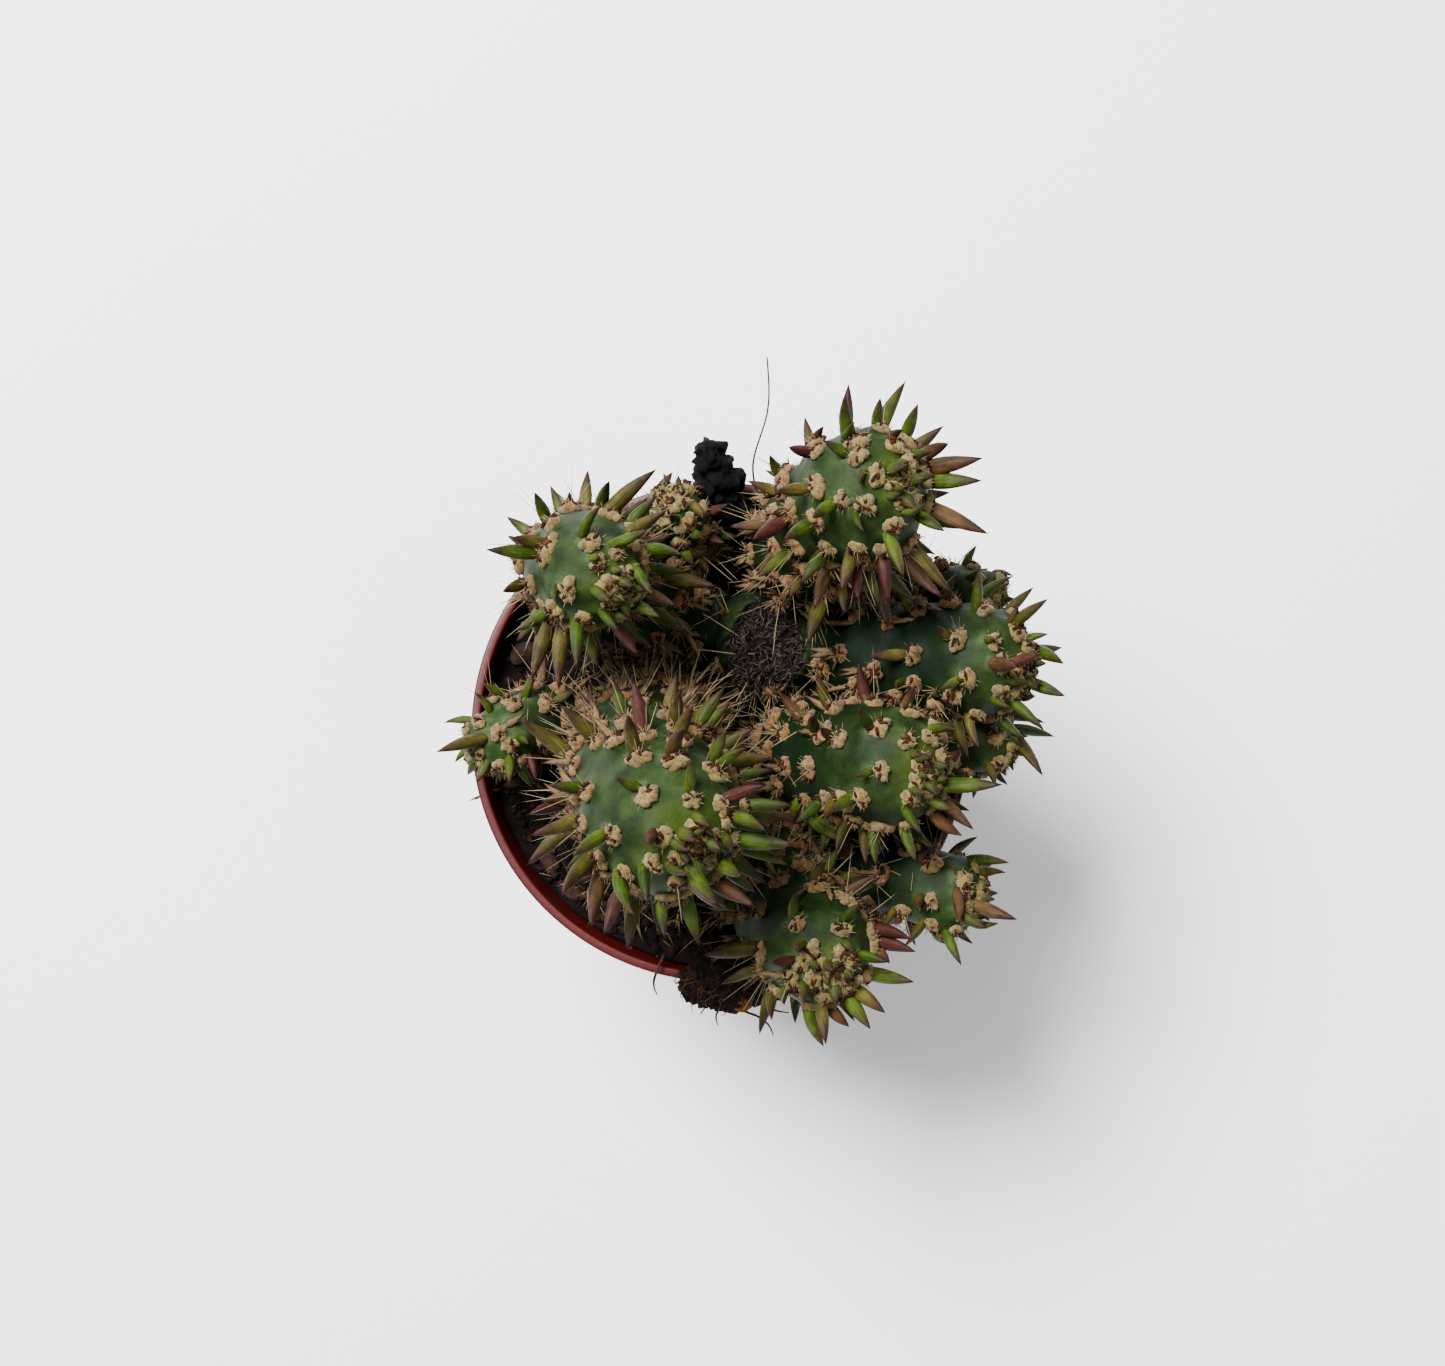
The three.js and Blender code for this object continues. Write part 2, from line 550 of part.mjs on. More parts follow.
// The place of an areole on the tubercle's top, and the woolly seat just above it.
function seatOf(shoot, a, size) {
  const seat = surfaceAt(shoot, a.down - 1.5 * size, a.angle);
  seat.point.addScaledVector(seat.normal, 0.6 * TUBERCLE * a.gap);
  return seat;
}

// The direction and length of a leaf whose tip shows at a known pixel.
function towardsPixel(foot, [px, py], wished) {
  const ray = new THREE.Vector3(px - VIEW_MIDDLE[0], VIEW_MIDDLE[1] - py, -VIEW_SCALE).normalize();
  const nearest = foot.clone().sub(CAMERA_PLACE).dot(ray);
  const onRay = (along) => CAMERA_PLACE.clone().addScaledVector(ray, along).sub(foot);
  const aside = onRay(nearest).length();
  const length = Math.min(LONGEST_LEAF, LEAF_SLANT * aside + 1);
  const deep = Math.sqrt(Math.max(0, length ** 2 - aside ** 2));
  const [near, far] = [onRay(nearest - deep).normalize(), onRay(nearest + deep).normalize()];
  return { wanted: far.dot(wished) > near.dot(wished) ? far : near, length };
}

function growLeaf(shoot, a) {
  const place = surfaceAt(shoot, a.down, a.angle);
  place.point.addScaledVector(place.normal, TUBERCLE * a.gap - 0.4);
  const lean = 0.45 - 0.3 * chance(shoot.turn, a.i, 3);
  let wanted = place.normal.clone().addScaledVector(place.tipward, lean).normalize();
  let length = leafLength(shoot, a);
  if (a.tip) ({ wanted, length } = towardsPixel(place.point, a.tip, wanted));
  const short = Math.max(0, LEAST_RISE - wanted.dot(place.normal));
  wanted.addScaledVector(place.normal, short).normalize();
  const found = fitted(shoot, place.point, wanted, place.tipward, length, leafHalf(length));
  return found ? leaf(place.point, found.direction, found.length) : null;
}

function growSpine(owner, foot, seed, i, normal, tipward) {
  const [x, y, z] = [chance(seed, i, 4) - 0.5, chance(seed, i, 6) - 0.5, chance(seed, i, 8) - 0.3];
  const wanted = normal.clone().addScaledVector(new THREE.Vector3(x, y, z), 1.1).normalize();
  const length = SPINE_LENGTH * (0.65 + 0.6 * chance(seed, i, 9));
  const found = fitted(owner, foot, wanted, tipward, length, SPINE_RADIUS);
  return found ? [spine(foot, found.direction, found.length)] : [];
}

// Everything that grows on one shoot, fused with its skin. Every fourth bare areole has its wool and a
// spine.
function dressed(shoot) {
  const pieces = [solidOf(bodyOf(shoot))];
  for (const a of shoot.areoles) {
    if (leafLength(shoot, a) > 0) a.leaf = growLeaf(shoot, a);
    if (a.leaf) pieces.push(a.leaf);
    if (a.i % WOOL_EVERY !== 0 || a.i < BUD || a.leaf || leafLength(shoot, a) > 0) continue;
    const size = (0.7 + 0.3 * Math.min(1, a.gap / GROWN_GAP)) * (0.88 + 0.24 * chance(shoot.turn, a.i, 1));
    const { point, normal, tipward } = seatOf(shoot, a, size);
    if (!isClear(shoot, point, normal, 1, 0.2)) continue;
    pieces.push(cushion(point, normal, size), ...growSpine(shoot, point, shoot.turn, a.i, normal, tipward));
  }
  return joined(pieces);
}

// The cut-back stem leans a little.
function stumpX(z) {
  return STUMP.x + STUMP.lean * (z - SOIL_LEVEL);
}

// The cut-back stem: a barrel in the peat with a sunken scab on top. grow makes it wider.
function stumpSkin(grow = 0) {
  const r = STUMP.radius;
  const top = STUMP.top + grow;
  const profile = [
    [0, STUMP.foot - grow], [0.35 * r + grow, STUMP.foot - grow], [0.8 * r + grow, 60], [r + grow, 71],
    [1.06 * r + grow, 79], [r + grow, top - 2.4], [0.86 * r + grow, top], [0.66 * r, top - 0.5],
    [0, top - 1.6],
  ];
  return reshape(turned(profile, STUMP.sides), (p) => {
    const rib = 1 + 0.04 * Math.cos(3 * Math.atan2(p.y, p.x) + 0.3 * p.z);
    p.set(p.x * rib + stumpX(p.z), p.y * rib + STUMP.y, p.z);
  });
}

// The stem with the areoles and spines that stand free between its side shoots.
function dressedStump() {
  const pieces = [solidOf(stumpSkin())];
  for (let i = 0; i < STUMP.areoles; i++) {
    const angle = i * GOLDEN_ANGLE;
    const z = STUMP.top - 2.8 - 0.6 * i;
    const outward = new THREE.Vector3(Math.cos(angle), Math.sin(angle), 0);
    const place = new THREE.Vector3(stumpX(z), STUMP.y, z).addScaledVector(outward, STUMP.radius);
    const normal = outward.addScaledVector(UP, 0.35).normalize();
    if (!isClear("main_stem", place, normal, 2, 0.2)) continue;
    pieces.push(cushion(place, normal, 1));
    for (const seed of [9, 10]) pieces.push(...growSpine("main_stem", place, seed, i, normal, UP));
  }
  return joined(pieces);
}

function pot() {
  const lipUnder = POT_HEIGHT - LIP_HEIGHT;
  const outside = [
    [0, 0], [FOOT_RADIUS - 1, 0], [FOOT_RADIUS, 1], [WALL_TOP_RADIUS, WALL_TOP - 1],
    [WALL_TOP_RADIUS + COLLAR_STEP, WALL_TOP + 0.4], [RIM_RADIUS - LIP_PROUD, lipUnder - 0.5],
    [RIM_RADIUS, lipUnder], [RIM_RADIUS, POT_HEIGHT - 0.6], [RIM_RADIUS - 0.5, POT_HEIGHT],
  ];
  const inside = [POT_HEIGHT - 1, LEDGE_TOP, LEDGE_FOOT, FLOOR + 0.8].map((z) => [potInner(z), z]);
  const bottom = [[potInner(FLOOR) - 0.8, FLOOR], [0, FLOOR]];
  const profile = [...outside, [RIM_RADIUS - LIP_WIDTH, POT_HEIGHT], ...inside, ...bottom];
  let whole = solidOf(turned(profile, POT_SIDES));
  for (let i = 0; i < DRAIN_HOLES; i++) {
    const drill = new THREE.CylinderGeometry(DRAIN_RADIUS, DRAIN_RADIUS, 4 * FLOOR, 8);
    drill.rotateX(Math.PI / 2).translate(DRAIN_CIRCLE, 0, 0).rotateZ((i * 2 * Math.PI) / DRAIN_HOLES);
    whole = whole.subtract(solidOf(drill));
  }
  return whole;
}

// A rough lump, by pushing a faceted ball's corners in and out.
function lump(detail, scale, place, seed, turn = 0) {
  const geometry = reshape(new THREE.IcosahedronGeometry(1, detail), (p) => {
    const long = 0.16 * Math.sin(3.1 * p.x + seed);
    const short = 0.13 * Math.sin(4.3 * p.y + 2 * seed) * Math.cos(3.7 * p.z);
    p.multiplyScalar(1 + long + short).multiply(scale);
  });
  return geometry.rotateZ(turn).translate(place.x, place.y, place.z);
}

// The peat: a bed that fills the pot, and the clump that spills over the front of the rim.
function soil(holes) {
  const foot = FLOOR + SOIL_GAP;
  const edge = (z) => potInner(z) - SOIL_GAP;
  const profile = [
    [0, foot], [edge(foot) - 1, foot], [edge(WALL_TOP - 1), WALL_TOP - 1], [edge(SOIL_LEVEL), SOIL_LEVEL],
    ...SOIL_RINGS.map((r) => [r, SOIL_LEVEL]), [0, SOIL_LEVEL],
  ];
  const bed = reshape(turned(profile, SOIL_SIDES), (p) => {
    if (p.z > SOIL_LEVEL - 0.1) p.z = soilHeight(p.x, p.y);
  });
  const size = new THREE.Vector3(SPILL.length, SPILL.width, SPILL.height);
  const spill = lump(1, size, new THREE.Vector3(SPILL.x, SPILL.y, POT_HEIGHT + 1.6), 1.3);
  const below = new THREE.BoxGeometry(80, 80, 20).translate(0, -40, POT_HEIGHT + SOIL_GAP - 10);
  const whole = solidOf(bed).add(solidOf(spill).subtract(solidOf(below)));
  return holes.reduce((rest, hole) => rest.subtract(hole), whole);
}

const stubLine = centreline(STUB.path);

function deadStub(grow = 0) {
  const step = stubLine.length / (STUB.radii.length - 1);
  const profile = [[0, 0], ...STUB.radii.map((r, i) => [r + grow, i * step]), [0, stubLine.length]];
  const geometry = reshape(turned(profile, 8), (p) => {
    const frame = stubLine.at(p.z);
    const knobs = 1 + 0.12 * Math.sin(1.7 * p.z + 2.6 * Math.atan2(p.y, p.x));
    const atFoot = p.z < 0.01 ? grow : 0;
    const { x, y } = p;
    p.copy(frame.point).addScaledVector(frame.across, x * knobs).addScaledVector(frame.over, y * knobs);
    p.addScaledVector(frame.tangent, -atFoot);
  });
  return solidOf(geometry);
}

function twig() {
  const { length, radius } = TWIG;
  const profile = [[0, 0], [radius, 0], [0.67 * radius, 0.94 * length], [0, length]];
  return solidOf(aimed(turned(profile, 5), vector(TWIG.aim).normalize(), vector(TWIG.foot)));
}

function dryFibre() {
  const r = FIBRE.radius;
  const section = new THREE.Shape([[r, 0], [0, r], [-r, 0], [0, -r]].map((p) => new THREE.Vector2(...p)));
  const extrudePath = new THREE.CatmullRomCurve3(FIBRE.path.map(vector));
  return solidOf(new THREE.ExtrudeGeometry(section, { steps: 10, extrudePath }));
}

function fibreHole() {
  const [x, y, z] = FIBRE.path[0];
  const drill = new THREE.CylinderGeometry(FIBRE.hole, FIBRE.hole, 10, 6).rotateX(Math.PI / 2);
  return solidOf(drill.translate(x, y + 0.6, z + 4.4));
}

// The wood chip lies on the spilt clump, and the grit on the bed.
function chip(c, grow = 0) {
  const ground = c.name === "wood_chip" ? POT_HEIGHT + 3.6 : soilHeight(c.x, c.y) + 0.3;
  const size = vector(c.half).addScalar(grow);
  return solidOf(lump(0, size, new THREE.Vector3(c.x, c.y, ground), 3 * c.turn, c.turn));
}

function addBall(owner, point, radius) {
  balls.push({ owner, point, radius });
}

const shoots = SHOOTS.map(measured);
for (const shoot of shoots) {
  shoot.areoles = areolesOf(shoot);
  const top = 0.4 * shoot.domeSurface;
  for (let i = 0; i <= 30; i++) {
    const place = surfaceAt(shoot, top + (i / 30) * (shoot.surface - top), 0);
    addBall(shoot, shoot.line.at(place.s).point, place.radius);
  }
}
for (let z = STUMP.foot; z <= STUMP.top - 4; z += 2)
  addBall("main_stem", new THREE.Vector3(stumpX(z), STUMP.y, z), STUMP.radius);
for (let s = 0; s <= stubLine.length; s += 2) addBall("dead_stub", stubLine.at(s).point, 3);
for (const c of CHIPS) addBall(c.name, new THREE.Vector3(c.x, c.y, soilHeight(c.x, c.y)), c.half[0]);
for (const p of FIBRE.path) addBall("dry_fibre", vector(p), 1.5);
addBall("soil", new THREE.Vector3(SPILL.x, SPILL.y, POT_HEIGHT), SPILL.width + 1);

const group = new THREE.Group();
group.add(meshOf("pot", pot(), POT_PLASTIC));

const stumpSocket = solidOf(stumpSkin(CLEARANCE));
const holes = [stumpSocket, deadStub(CLEARANCE), fibreHole()];
for (const shoot of shoots) for (const a of shoot.areoles) if (a.tip) a.leaf = growLeaf(shoot, a);
for (const shoot of shoots) {
  const whole = dressed(shoot);
  const attached = ATTACHED.includes(shoot.name);
  group.add(meshOf(shoot.name, attached ? whole.subtract(stumpSocket) : whole, SKIN));
  if (!attached) holes.push(solidOf(bodyOf(shoot, CLEARANCE)));
}
group.add(meshOf("main_stem", dressedStump(), OLD_SKIN));
for (const c of CHIPS) {
  group.add(meshOf(c.name, chip(c), c.name === "wood_chip" ? WOOD : GRIT));
  holes.push(chip(c, CLEARANCE));
}
group.add(meshOf("dead_stub", deadStub().add(twig()), DEAD));
group.add(meshOf("dry_fibre", dryFibre(), DRY_FIBRE));
group.add(meshOf("soil", soil(holes), PEAT));

export default group;
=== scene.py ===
import math
from functools import partial

import bmesh
import bpy
import numpy as np
from mathutils import Matrix, Vector, noise
from mathutils.bvhtree import BVHTree


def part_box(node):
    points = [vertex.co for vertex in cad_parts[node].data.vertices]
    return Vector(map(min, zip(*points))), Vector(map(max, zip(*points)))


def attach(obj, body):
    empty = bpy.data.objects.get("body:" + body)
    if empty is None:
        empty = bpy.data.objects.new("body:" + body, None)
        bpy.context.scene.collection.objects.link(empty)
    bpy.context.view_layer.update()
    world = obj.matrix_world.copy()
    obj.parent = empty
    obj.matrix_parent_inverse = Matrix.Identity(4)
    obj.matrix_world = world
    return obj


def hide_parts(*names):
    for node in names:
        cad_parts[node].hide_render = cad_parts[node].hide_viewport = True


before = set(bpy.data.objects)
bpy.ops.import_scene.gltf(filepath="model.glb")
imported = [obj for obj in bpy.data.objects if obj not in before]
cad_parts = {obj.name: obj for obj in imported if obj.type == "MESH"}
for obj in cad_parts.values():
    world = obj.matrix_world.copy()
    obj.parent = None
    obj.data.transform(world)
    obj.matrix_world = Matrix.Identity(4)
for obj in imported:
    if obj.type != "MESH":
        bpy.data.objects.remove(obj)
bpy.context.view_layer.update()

# Shapes are worked out in millimetres, and put in metres when a piece is finished
MM = 0.001

# The pot
_, pot_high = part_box("pot")
RIM_RADIUS = pot_high.x / MM
POT_HEIGHT = pot_high.z / MM
FOOT_RADIUS = 29.5
WALL = 1.2
FLOOR = 1.6
COLLAR_HEIGHT = 13
COLLAR_STEP = 1.6
LIP_WIDTH = 1.6
LIP_HEIGHT = 1.8
LIP_PROUD = 0.8
DRAIN_HOLES = 6
DRAIN_RADIUS = 3
DRAIN_CIRCLE = 19
WALL_TOP = POT_HEIGHT - COLLAR_HEIGHT
WALL_TOP_RADIUS = RIM_RADIUS - LIP_WIDTH - COLLAR_STEP

# The peat
SOIL_LEVEL = 69
SOIL_GAP = 0.4
MOUND = {"x": 3, "y": -40, "rise": 7.2, "spread": 9}
SPILL = {"x": 1.2, "y": -42.3, "length": 8.2, "width": 4.5, "height": 2.9}

# The cut-back main stem, and the dead shoot that leans over the rim at the back
STUMP = {"x": 7.3, "y": 15.5, "radius": 8.4, "foot": 48, "top": 87, "lean": 0.03, "areoles": 18}
STUMP_SEED = 9
SCAB = {"x": -0.4, "y": -1.2, "wide": 6.4, "long": 7.6}
STUB_PATH = [(3.5, 34.9, 60), (3.4, 34.8, 74.5), (0.1, 38.6, 82), (-2.3, 48.2, 88.6)]
STUB_RADII = [2.1, 2.1, 2.1, 2.5, 3.1, 2.8, 3.6, 2.8, 1.8]
TWIG = {"foot": (1.4, 37.5, 78), "aim": (0.3, 0.7, 0.66), "length": 8, "radius": 0.75}
FIBRE_PATH = [(7.4, 33.4, 66), (6.6, 38, 76), (5.6, 44.5, 84), (7.4, 52, 95), (7.2, 59.5, 104)]
FIBRE_RADIUS = 0.22

CHIPS = [
    {"name": "wood_chip", "x": 3.4, "y": -44.4, "half": (2.0, 2.8, 0.8), "turn": 0.3},
    {"name": "grit_left", "x": -34, "y": 13.5, "half": (2.6, 1.9, 1.5), "turn": 0.6},
    {"name": "grit_front_left", "x": -29.5, "y": -22.5, "half": (2.4, 1.6, 1.3), "turn": 2.2},
    {"name": "grit_front", "x": -26, "y": -27.5, "half": (2.8, 1.4, 1.1), "turn": 2.5},
]

# The shoots: name, radius, turn of the spiral, how far down leaves are kept, and the path to the tip
SHOOTS = [
    ("shoot_front", 11.4, 0.4, 15, [(-6, 1.5, 60), (-12, 1, 82), (-17, -7, 104), (-4.2, -15, 127)]),
    ("shoot_left", 8.3, 1.1, 14, [(1, 19, 79), (-14, 20, 75), (-33.5, 33, 104), (-14.8, 23, 118)]),
    ("shoot_back_right", 9.8, 2.0, 14, [(11, 21, 76), (15, 28, 78), (15, 37, 104), (26.8, 38.8, 119)]),
    ("shoot_right", 8.4, 0.2, 11, [(13, 14, 78), (25, 13, 85), (36, 13, 91), (48.3, 11.4, 99)]),
    ("shoot_front_right", 9.0, 3.1, 14, [(13, -1.5, 60), (11, -3.5, 82), (22, -5, 94), (31.6, -4.6, 108)]),
    ("shoot_fore", 8.7, 4.0, 12, [(3, -15, 60), (5, -21, 78), (13, -32, 86), (17.8, -37, 102)]),
    ("offset_fore_right", 6.3, 5.2, 9,
     [(20, -18.5, 60), (22.5, -21, 82), (32, -25.5, 85), (42.3, -27.2, 89)]),
    ("offset_left", 5.0, 0.9, 8, [(-27, 3, 60), (-26.5, 3.5, 83), (-36, 3.5, 87), (-38.8, -5, 84)]),
    ("offset_back", 4.5, 2.6, 8, [(-4.6, 32.4, 60), (-5, 32.8, 80), (-6.9, 34.8, 86), (-8.6, 38, 91)]),
    ("offset_back_right", 3.5, 1.7, 6,
     [(25.8, 22.8, 60), (25.8, 24.2, 88), (36, 25.6, 83), (46.2, 22.6, 85)]),
    ("offset_right", 4.9, 3.7, 8, [(26, 1, 60), (27, 1.8, 80), (38, 1.6, 82), (48, -3.2, 84.5)]),
]
ATTACHED = ("shoot_left", "shoot_back_right", "shoot_right")

# How much painted shade darkens the skin towards the root, on the shoots that stand in the shade of others
# and on the rest
SHADE_PAINTED_BY_SHOOT = {"shoot_right": 0.97, "shoot_front_right": 0.92, "offset_right": 0.85, "offset_fore_right": 0.9,
        "offset_back_right": 0.6, "shoot_back_right": 0.5, "shoot_fore": 0.4}
SHADE_PAINTED_ELSEWHERE = 0.35

# How a shoot is domed at its tip and narrowed at its root, how much of it is hidden there, and the room
# that is kept round what grows on it
TIP_HEIGHT = 0.9
NECK = 0.6
NECK_LENGTH = 1.5
NECK_START = 0.6
BURIED = 13
JOINED = 5
ROOM = 0.7

# Areoles in a spiral from the tip down, each on a low tubercle
GOLDEN_ANGLE = math.radians(137.508)
YOUNG_GAP = 2.6
GROWN_GAP = 5.6
AREA_SHARE = 0.87
GROWING = 17
TUBERCLE = 0.15
TUBERCLE_WIDTH = 0.44
CUSHION_RADIUS = 1.75
WOOL_SPREAD = 1.14
BUD = 2
SPINY_EVERY = 4

# The first numbers of the areoles that the photograph shows and of those that are filled in, how close
# the filled ones stand, and how far above its leaf's foot a seen cushion is
FIRST_SEEN = 100
FIRST_FILLER = 200
FILLER_TRIES = 340
FILLER_SEED = 21
FILLED_TO = 3.7
SHADED_BELOW = 0.45
SEAT_ABOVE = 1.5

# Leaves: lengths, growth from the tip down, and the share that is kept further down; and the spines
LEAF_LENGTH = 2.4
LEAF_GAIN = 0.55
LEAST_RISE = 0.35
LONGEST_LEAF = 10.5
LEAF_SLANT = 1.04
LEAF_GROWING = 9
FULL_LEAF = 5
KEPT = 0.16
SLIM = 0.9
SPINE_LENGTH = 8.5
SPINE_RADIUS = 0.17

# Loose pieces: how many, how far out on the bed, and where those on the clump start
CRUMBS_ON_BED = 3600
CRUMBS_ON_CLUMP = 900
BARK_FLAKES = 70
ROOTS_ON_BED = 150
ROOTS_ON_CLUMP = 110
SCAB_SHREDS = 560
BED_REACH = 38
CRUMB_REACH = 39.2
CLUMP_FOOT = POT_HEIGHT + 1.4
LITTER_SEED = 7

# The photograph's view: its middle and scale in pixels, where the camera stands and its lens, and how much
# room a seen areole keeps from the others, most of all on the smooth side
VIEW_MIDDLE = (722.5, 683)
VIEW_SCALE = 2235.16
CAMERA_PLACE = np.array([0.3, 8.4, 455])
LENS = 55.69
SPARE = 0.66
SMOOTH_SIDE = (-0.5, 0.5, 0.7)
SMOOTH_SPARE = 0.24

# Areoles that the photograph shows, by the pixel where each is, and where a leaf stands below it also
# the pixel of the leaf's tip and its tint: green, yellow, olive, brown or red-brown
SEEN = {
    "shoot_back_right": [
        (858, 443, 835, 391, "g"), (853, 445, 845, 417, "g"), (880, 432, 880, 397, "g"),
        (893, 446, 899, 421, "b"), (908, 441, 918, 403, "g"), (926, 455, 955, 436, "b"),
        (908, 460, 932, 451, "g"), (937, 464, 980, 459, "b"), (928, 480, 979, 480, "g"),
        (935, 505, 992, 538, "b"), (912, 507, 945, 532, "g"), (890, 527, 907, 575, "g"),
        (862, 506, 856, 535, "g"), (843, 500, 803, 520, "g"), (818, 486, 772, 492, "o"),
        (796, 513, 745, 545, "r"), (785, 472, 762, 455, "g"), (822, 452, 782, 449, "r"),
        (817, 446, 819, 420, "b"), (855, 458, 826, 440, "g"), (872, 474, 852, 479, "o"),
        (857, 545, 844, 590, "o"), (925, 552, 957, 605, "o"), (910, 560, 938, 605, "b"),
        (795, 508, 770, 514, "o"), (888, 577, 888, 628, "b"), (825, 588, 807, 645, "o"), (830, 545),
        (793, 580), (775, 570), (858, 610), (868, 600),
    ],
    "shoot_fore": [
        (798, 925, 793, 890, "g"), (815, 890, 825, 857, "o"), (765, 952, 703, 955, "o"),
        (840, 928, 861, 906, "g"), (868, 935, 917, 931, "r"), (872, 945, 919, 949, "r"),
        (878, 950, 897, 961, "b"), (852, 958, 888, 962, "g"), (865, 975, 915, 982, "g"),
        (850, 985, 888, 1015, "o"), (843, 990, 872, 1032, "g"), (828, 1003, 850, 1034, "b"),
        (812, 1003, 816, 1056, "g"), (793, 985, 777, 1006, "g"), (778, 992, 755, 1027, "o"),
        (770, 1000, 763, 1022, "o"), (790, 975), (808, 950), (800, 962), (845, 978, 858, 986, "g"),
        (830, 985, 838, 998, "g"),
    ],
    "shoot_front_right": [
        (838, 700, 801, 664, "r"), (843, 740, 812, 727, "b"), (878, 730, 850, 706, "g"),
        (880, 770, 859, 777, "g"), (862, 795, 822, 812, "g"), (908, 715, 915, 684, "b"),
        (938, 735, 957, 716, "g"), (938, 782, 1003, 785, "g"), (908, 800, 919, 837, "g"),
        (935, 808, 960, 848, "b"), (945, 800, 973, 826, "b"), (958, 765, 965, 745, "b"),
        (962, 705, 935, 722, "b"), (813, 808, 840, 854, "g"), (905, 740, 909, 735, "y"),
        (915, 758, 921, 755, "y"), (940, 757, 947, 753, "y"), (857, 815), (872, 825), (880, 840),
        (875, 700), (812, 768), (795, 698),
    ],
    "shoot_right": [
        (1015, 632, 1048, 598, "o"), (1013, 630, 1021, 607, "o"), (1038, 652, 1073, 657, "g"),
        (1016, 663, 1038, 655, "r"), (1035, 680, 1066, 697, "g"), (1025, 695, 1036, 703, "r"),
        (992, 643, 997, 640, "y"), (960, 640, 931, 626, "o"), (915, 655, 871, 657, "o"),
        (968, 678, 942, 691, "g"), (998, 693, 1005, 712, "g"), (842, 653),
    ],
    "offset_right": [
        (1012, 705, 1037, 733, "b"), (1040, 730, 1055, 732, "g"), (1020, 740, 1039, 778, "o"),
        (993, 763, 1000, 785, "o"),
    ],
    "offset_back_right": [
        (975, 580, 975, 568, "g"), (983, 607, 979, 576, "b"), (998, 578, 1009, 567, "g"),
        (995, 592, 1004, 582, "g"), (1000, 600, 1015, 595, "g"), (993, 606), (978, 607),
    ],
    "offset_fore_right": [
        (972, 866, 1009, 858, "g"), (985, 880, 1004, 861, "o"), (975, 903, 1017, 920, "b"),
        (975, 918, 997, 932, "g"), (953, 928, 961, 966, "g"), (942, 932, 942, 945, "g"),
        (962, 893, 964, 925, "b"), (930, 865, 922, 845, "b"), (905, 910, 858, 928, "o"), (960, 880),
        (932, 900),
    ],
    "offset_left": [
        (480, 747, 437, 748, "o"), (478, 764, 467, 775, "g"), (495, 700, 482, 682, "g"), (482, 722),
        (500, 732), (510, 745),
    ],
    "shoot_left": [
        (555, 527, 532, 490, "g"), (553, 548, 509, 536, "o"), (548, 556, 489, 551, "g"),
        (535, 583, 496, 591, "o"), (572, 512, 570, 494, "b"), (590, 543, 590, 497, "g"),
        (610, 520, 653, 462, "o"), (613, 493, 603, 472, "g"), (615, 552, 650, 535, "g"),
        (640, 556, 688, 543, "g"), (675, 552, 727, 553, "b"), (655, 575, 715, 585, "o"),
        (630, 570, 650, 600, "g"), (567, 588, 546, 601, "g"), (583, 615, 582, 668, "g"),
        (548, 605, 526, 640, "g"), (545, 630, 527, 682, "o"), (560, 645, 547, 693, "o"),
        (605, 605, 619, 632, "g"), (635, 600, 689, 635, "g"), (628, 617, 660, 652, "g"),
        (597, 563, 602, 559, "y"), (605, 640), (640, 523), (700, 600), (667, 670), (640, 655), (720, 655),
        (575, 685),
    ],
    "offset_back": [
        (645, 520, 670, 500, "o"), (655, 490, 680, 482, "b"), (685, 502, 710, 518, "o"),
        (725, 515, 738, 503, "g"), (672, 512), (690, 487), (735, 556),
    ],
    "shoot_front": [
        (640, 760, 623, 708, "o"), (675, 733, 679, 686, "o"), (600, 745, 562, 707, "o"),
        (550, 758, 520, 713, "o"), (645, 795, 613, 775, "g"), (592, 793, 550, 787, "g"),
        (690, 798, 692, 760, "g"), (710, 770, 727, 728, "y"), (720, 718, 722, 697, "r"),
        (733, 765, 776, 748, "o"), (615, 835, 568, 855, "g"), (572, 828, 522, 862, "o"),
        (568, 806, 525, 813, "r"), (603, 857, 548, 892, "o"), (650, 862, 647, 905, "g"),
        (626, 870, 621, 924, "g"), (605, 872, 583, 930, "b"), (690, 857, 712, 918, "g"),
        (712, 858, 749, 882, "g"), (725, 820, 775, 822, "y"), (730, 840, 792, 846, "g"),
        (715, 885, 757, 908, "b"), (768, 903), (660, 835), (675, 880), (665, 900), (755, 853), (770, 860),
        (715, 775), (720, 805), (625, 700), (640, 705), (575, 690),
    ],
}
TINTS = {"g": 0.08, "y": 0.0, "o": 0.45, "b": 0.8, "r": 1.0}


def unit(v):
    return v / np.maximum(np.linalg.norm(v, axis=-1, keepdims=True), 1e-12)


def smoothstep(x, low, high):
    t = np.clip((x - low) / (high - low), 0, 1)
    return t * t * (3 - 2 * t)


def chance(seed, i, kind):
    """A repeatable number from 0 to 1 for the i-th piece of a shoot, a new one for each kind of choice."""
    wave = math.sin(seed * 127.1 + i * 311.7 + kind * 74.7) * 43758.5453
    return wave - math.floor(wave)


def in_view(points):
    """Where places show in the photograph, in its pixels."""
    scale = VIEW_SCALE / (CAMERA_PLACE[2] - points[:, 2])
    across = VIEW_MIDDLE[0] + (points[:, 0] - CAMERA_PLACE[0]) * scale
    return np.stack([across, VIEW_MIDDLE[1] - (points[:, 1] - CAMERA_PLACE[1]) * scale], 1)


def sight_line(px, py):
    """The direction in which the camera sees a pixel."""
    return unit(np.array([px - VIEW_MIDDLE[0], VIEW_MIDDLE[1] - py, -VIEW_SCALE]))


